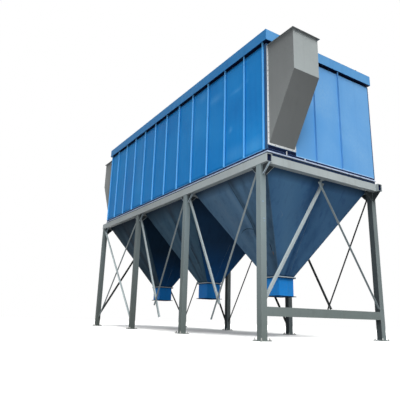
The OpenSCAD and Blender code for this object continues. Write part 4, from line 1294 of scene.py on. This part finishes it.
def floorMaterial():
    # To the camera the floor is pale and fades to plain white; the light that it throws back on
    # the object is that of darker ground
    look = stageLook
    material = bpy.data.materials.new("paleFloor")
    tree, out = emptyTree(material, "ShaderNodeOutputMaterial")
    pale = plainShader(tree, "ShaderNodeBsdfDiffuse", look["floorTone"])
    white = plainShader(tree, "ShaderNodeEmission", look["white"])
    ground = plainShader(tree, "ShaderNodeBsdfDiffuse", look["groundTone"])
    far = addNode(tree, "ShaderNodeVectorMath", operation="LENGTH")
    tree.links.new(addNode(tree, "ShaderNodeTexCoord").outputs["Object"], far.inputs[0])
    fade = addNode(tree, "ShaderNodeMixShader")
    feed(tree, fade.inputs[0], spread(tree, far.outputs["Value"], look["fadeFrom"], look["fadeTo"]))
    tree.links.new(pale.outputs[0], fade.inputs[1])
    tree.links.new(white.outputs[0], fade.inputs[2])
    splitRays(tree, ground, fade, out)
    return material


def layFloor():
    radius = stageLook["floorRadius"]
    mesh = bpy.data.meshes.new("floor")
    mesh.from_pydata([(radius * sx, radius * sy, 0) for sx, sy in squareWays], [], [(0, 1, 2, 3)])
    mesh.materials.append(floorMaterial())
    newObject("floor", mesh)


def lightWorld():
    # Soft sky, brighter overhead, for the light; plain white where the camera sees it
    look = stageLook
    world = bpy.data.worlds.new("paleSky")
    bpy.context.scene.world = world
    tree, out = emptyTree(world, "ShaderNodeOutputWorld")
    soft = plainShader(tree, "ShaderNodeBackground", look["skyTone"])
    toward = addNode(tree, "ShaderNodeTexCoord").outputs["Generated"]  # direction of the ray
    rise = spread(tree, heightOf(tree, toward), 0.0, 1.0, look["skyLow"], look["skyHigh"])
    tree.links.new(rise, soft.inputs["Strength"])
    splitRays(tree, soft, plainShader(tree, "ShaderNodeBackground", look["white"]), out)


def aim(made, place, x, back):
    # Puts a camera or lamp at a place with its own X axis along x, looking away from back
    axes = Matrix((x, np.cross(back, x), back)).transposed()
    made.matrix_world = Matrix.Translation(place) @ axes.to_4x4()


def hangLamp(name, kind, place, back, **settings):
    light = bpy.data.lights.new(name, kind)
    for key, value in settings.items():
        setattr(light, key, value)
    lamp = newObject(name, light)
    aim(lamp, place, unit(np.cross([0, 0, 1], back)), unit(back))
    return lamp


def hangLamps():
    look = stageLook
    hangLamp("key", "SUN", (0, 0, 0), look["sunFrom"], energy=look["sunStrength"],
             angle=math.radians(look["sunSpread"]), color=look["sunTone"])
    fill = hangLamp("fill", "AREA", look["fillFrom"], np.subtract(look["fillFrom"], look["fillAt"]),
                    shape="DISK", size=look["fillSize"], energy=look["fillPower"], color=look["fillTone"])
    fill.visible_camera = False
    fill.visible_glossy = False


cameraLook = dict(place=(12.766, -8.468, 0.456), azimuth=58.192, elevation=-15.508, roll=1.738,
                  focalPixels=440.55, framePixels=400, centreRow=195, sensor=36.0, farthest=1000.0)


def setCamera():
    # Camera fitted to the photograph: its axis from azimuth and elevation, turned by roll
    look = cameraLook
    az, el, roll = (math.radians(look[key]) for key in ("azimuth", "elevation", "roll"))
    back = np.array([math.sin(az) * math.cos(el), -math.cos(az) * math.cos(el), math.sin(el)])
    right = np.array([math.cos(az), math.sin(az), 0.0])
    up = np.cross(back, right)
    data = bpy.data.cameras.new("camera")
    data.sensor_width = look["sensor"]
    data.lens = look["focalPixels"] / look["framePixels"] * data.sensor_width
    data.shift_y = (look["centreRow"] - look["framePixels"] / 2) / look["framePixels"]
    data.clip_end = look["farthest"]
    camera = newObject("camera", data)
    aim(camera, look["place"], right * math.cos(roll) + up * math.sin(roll), back)
    bpy.context.scene.camera = camera


layFloor()
lightWorld()
hangLamps()
setCamera()
bpy.context.scene.view_settings.view_transform = "Standard"
print("stage: floor, light and camera")
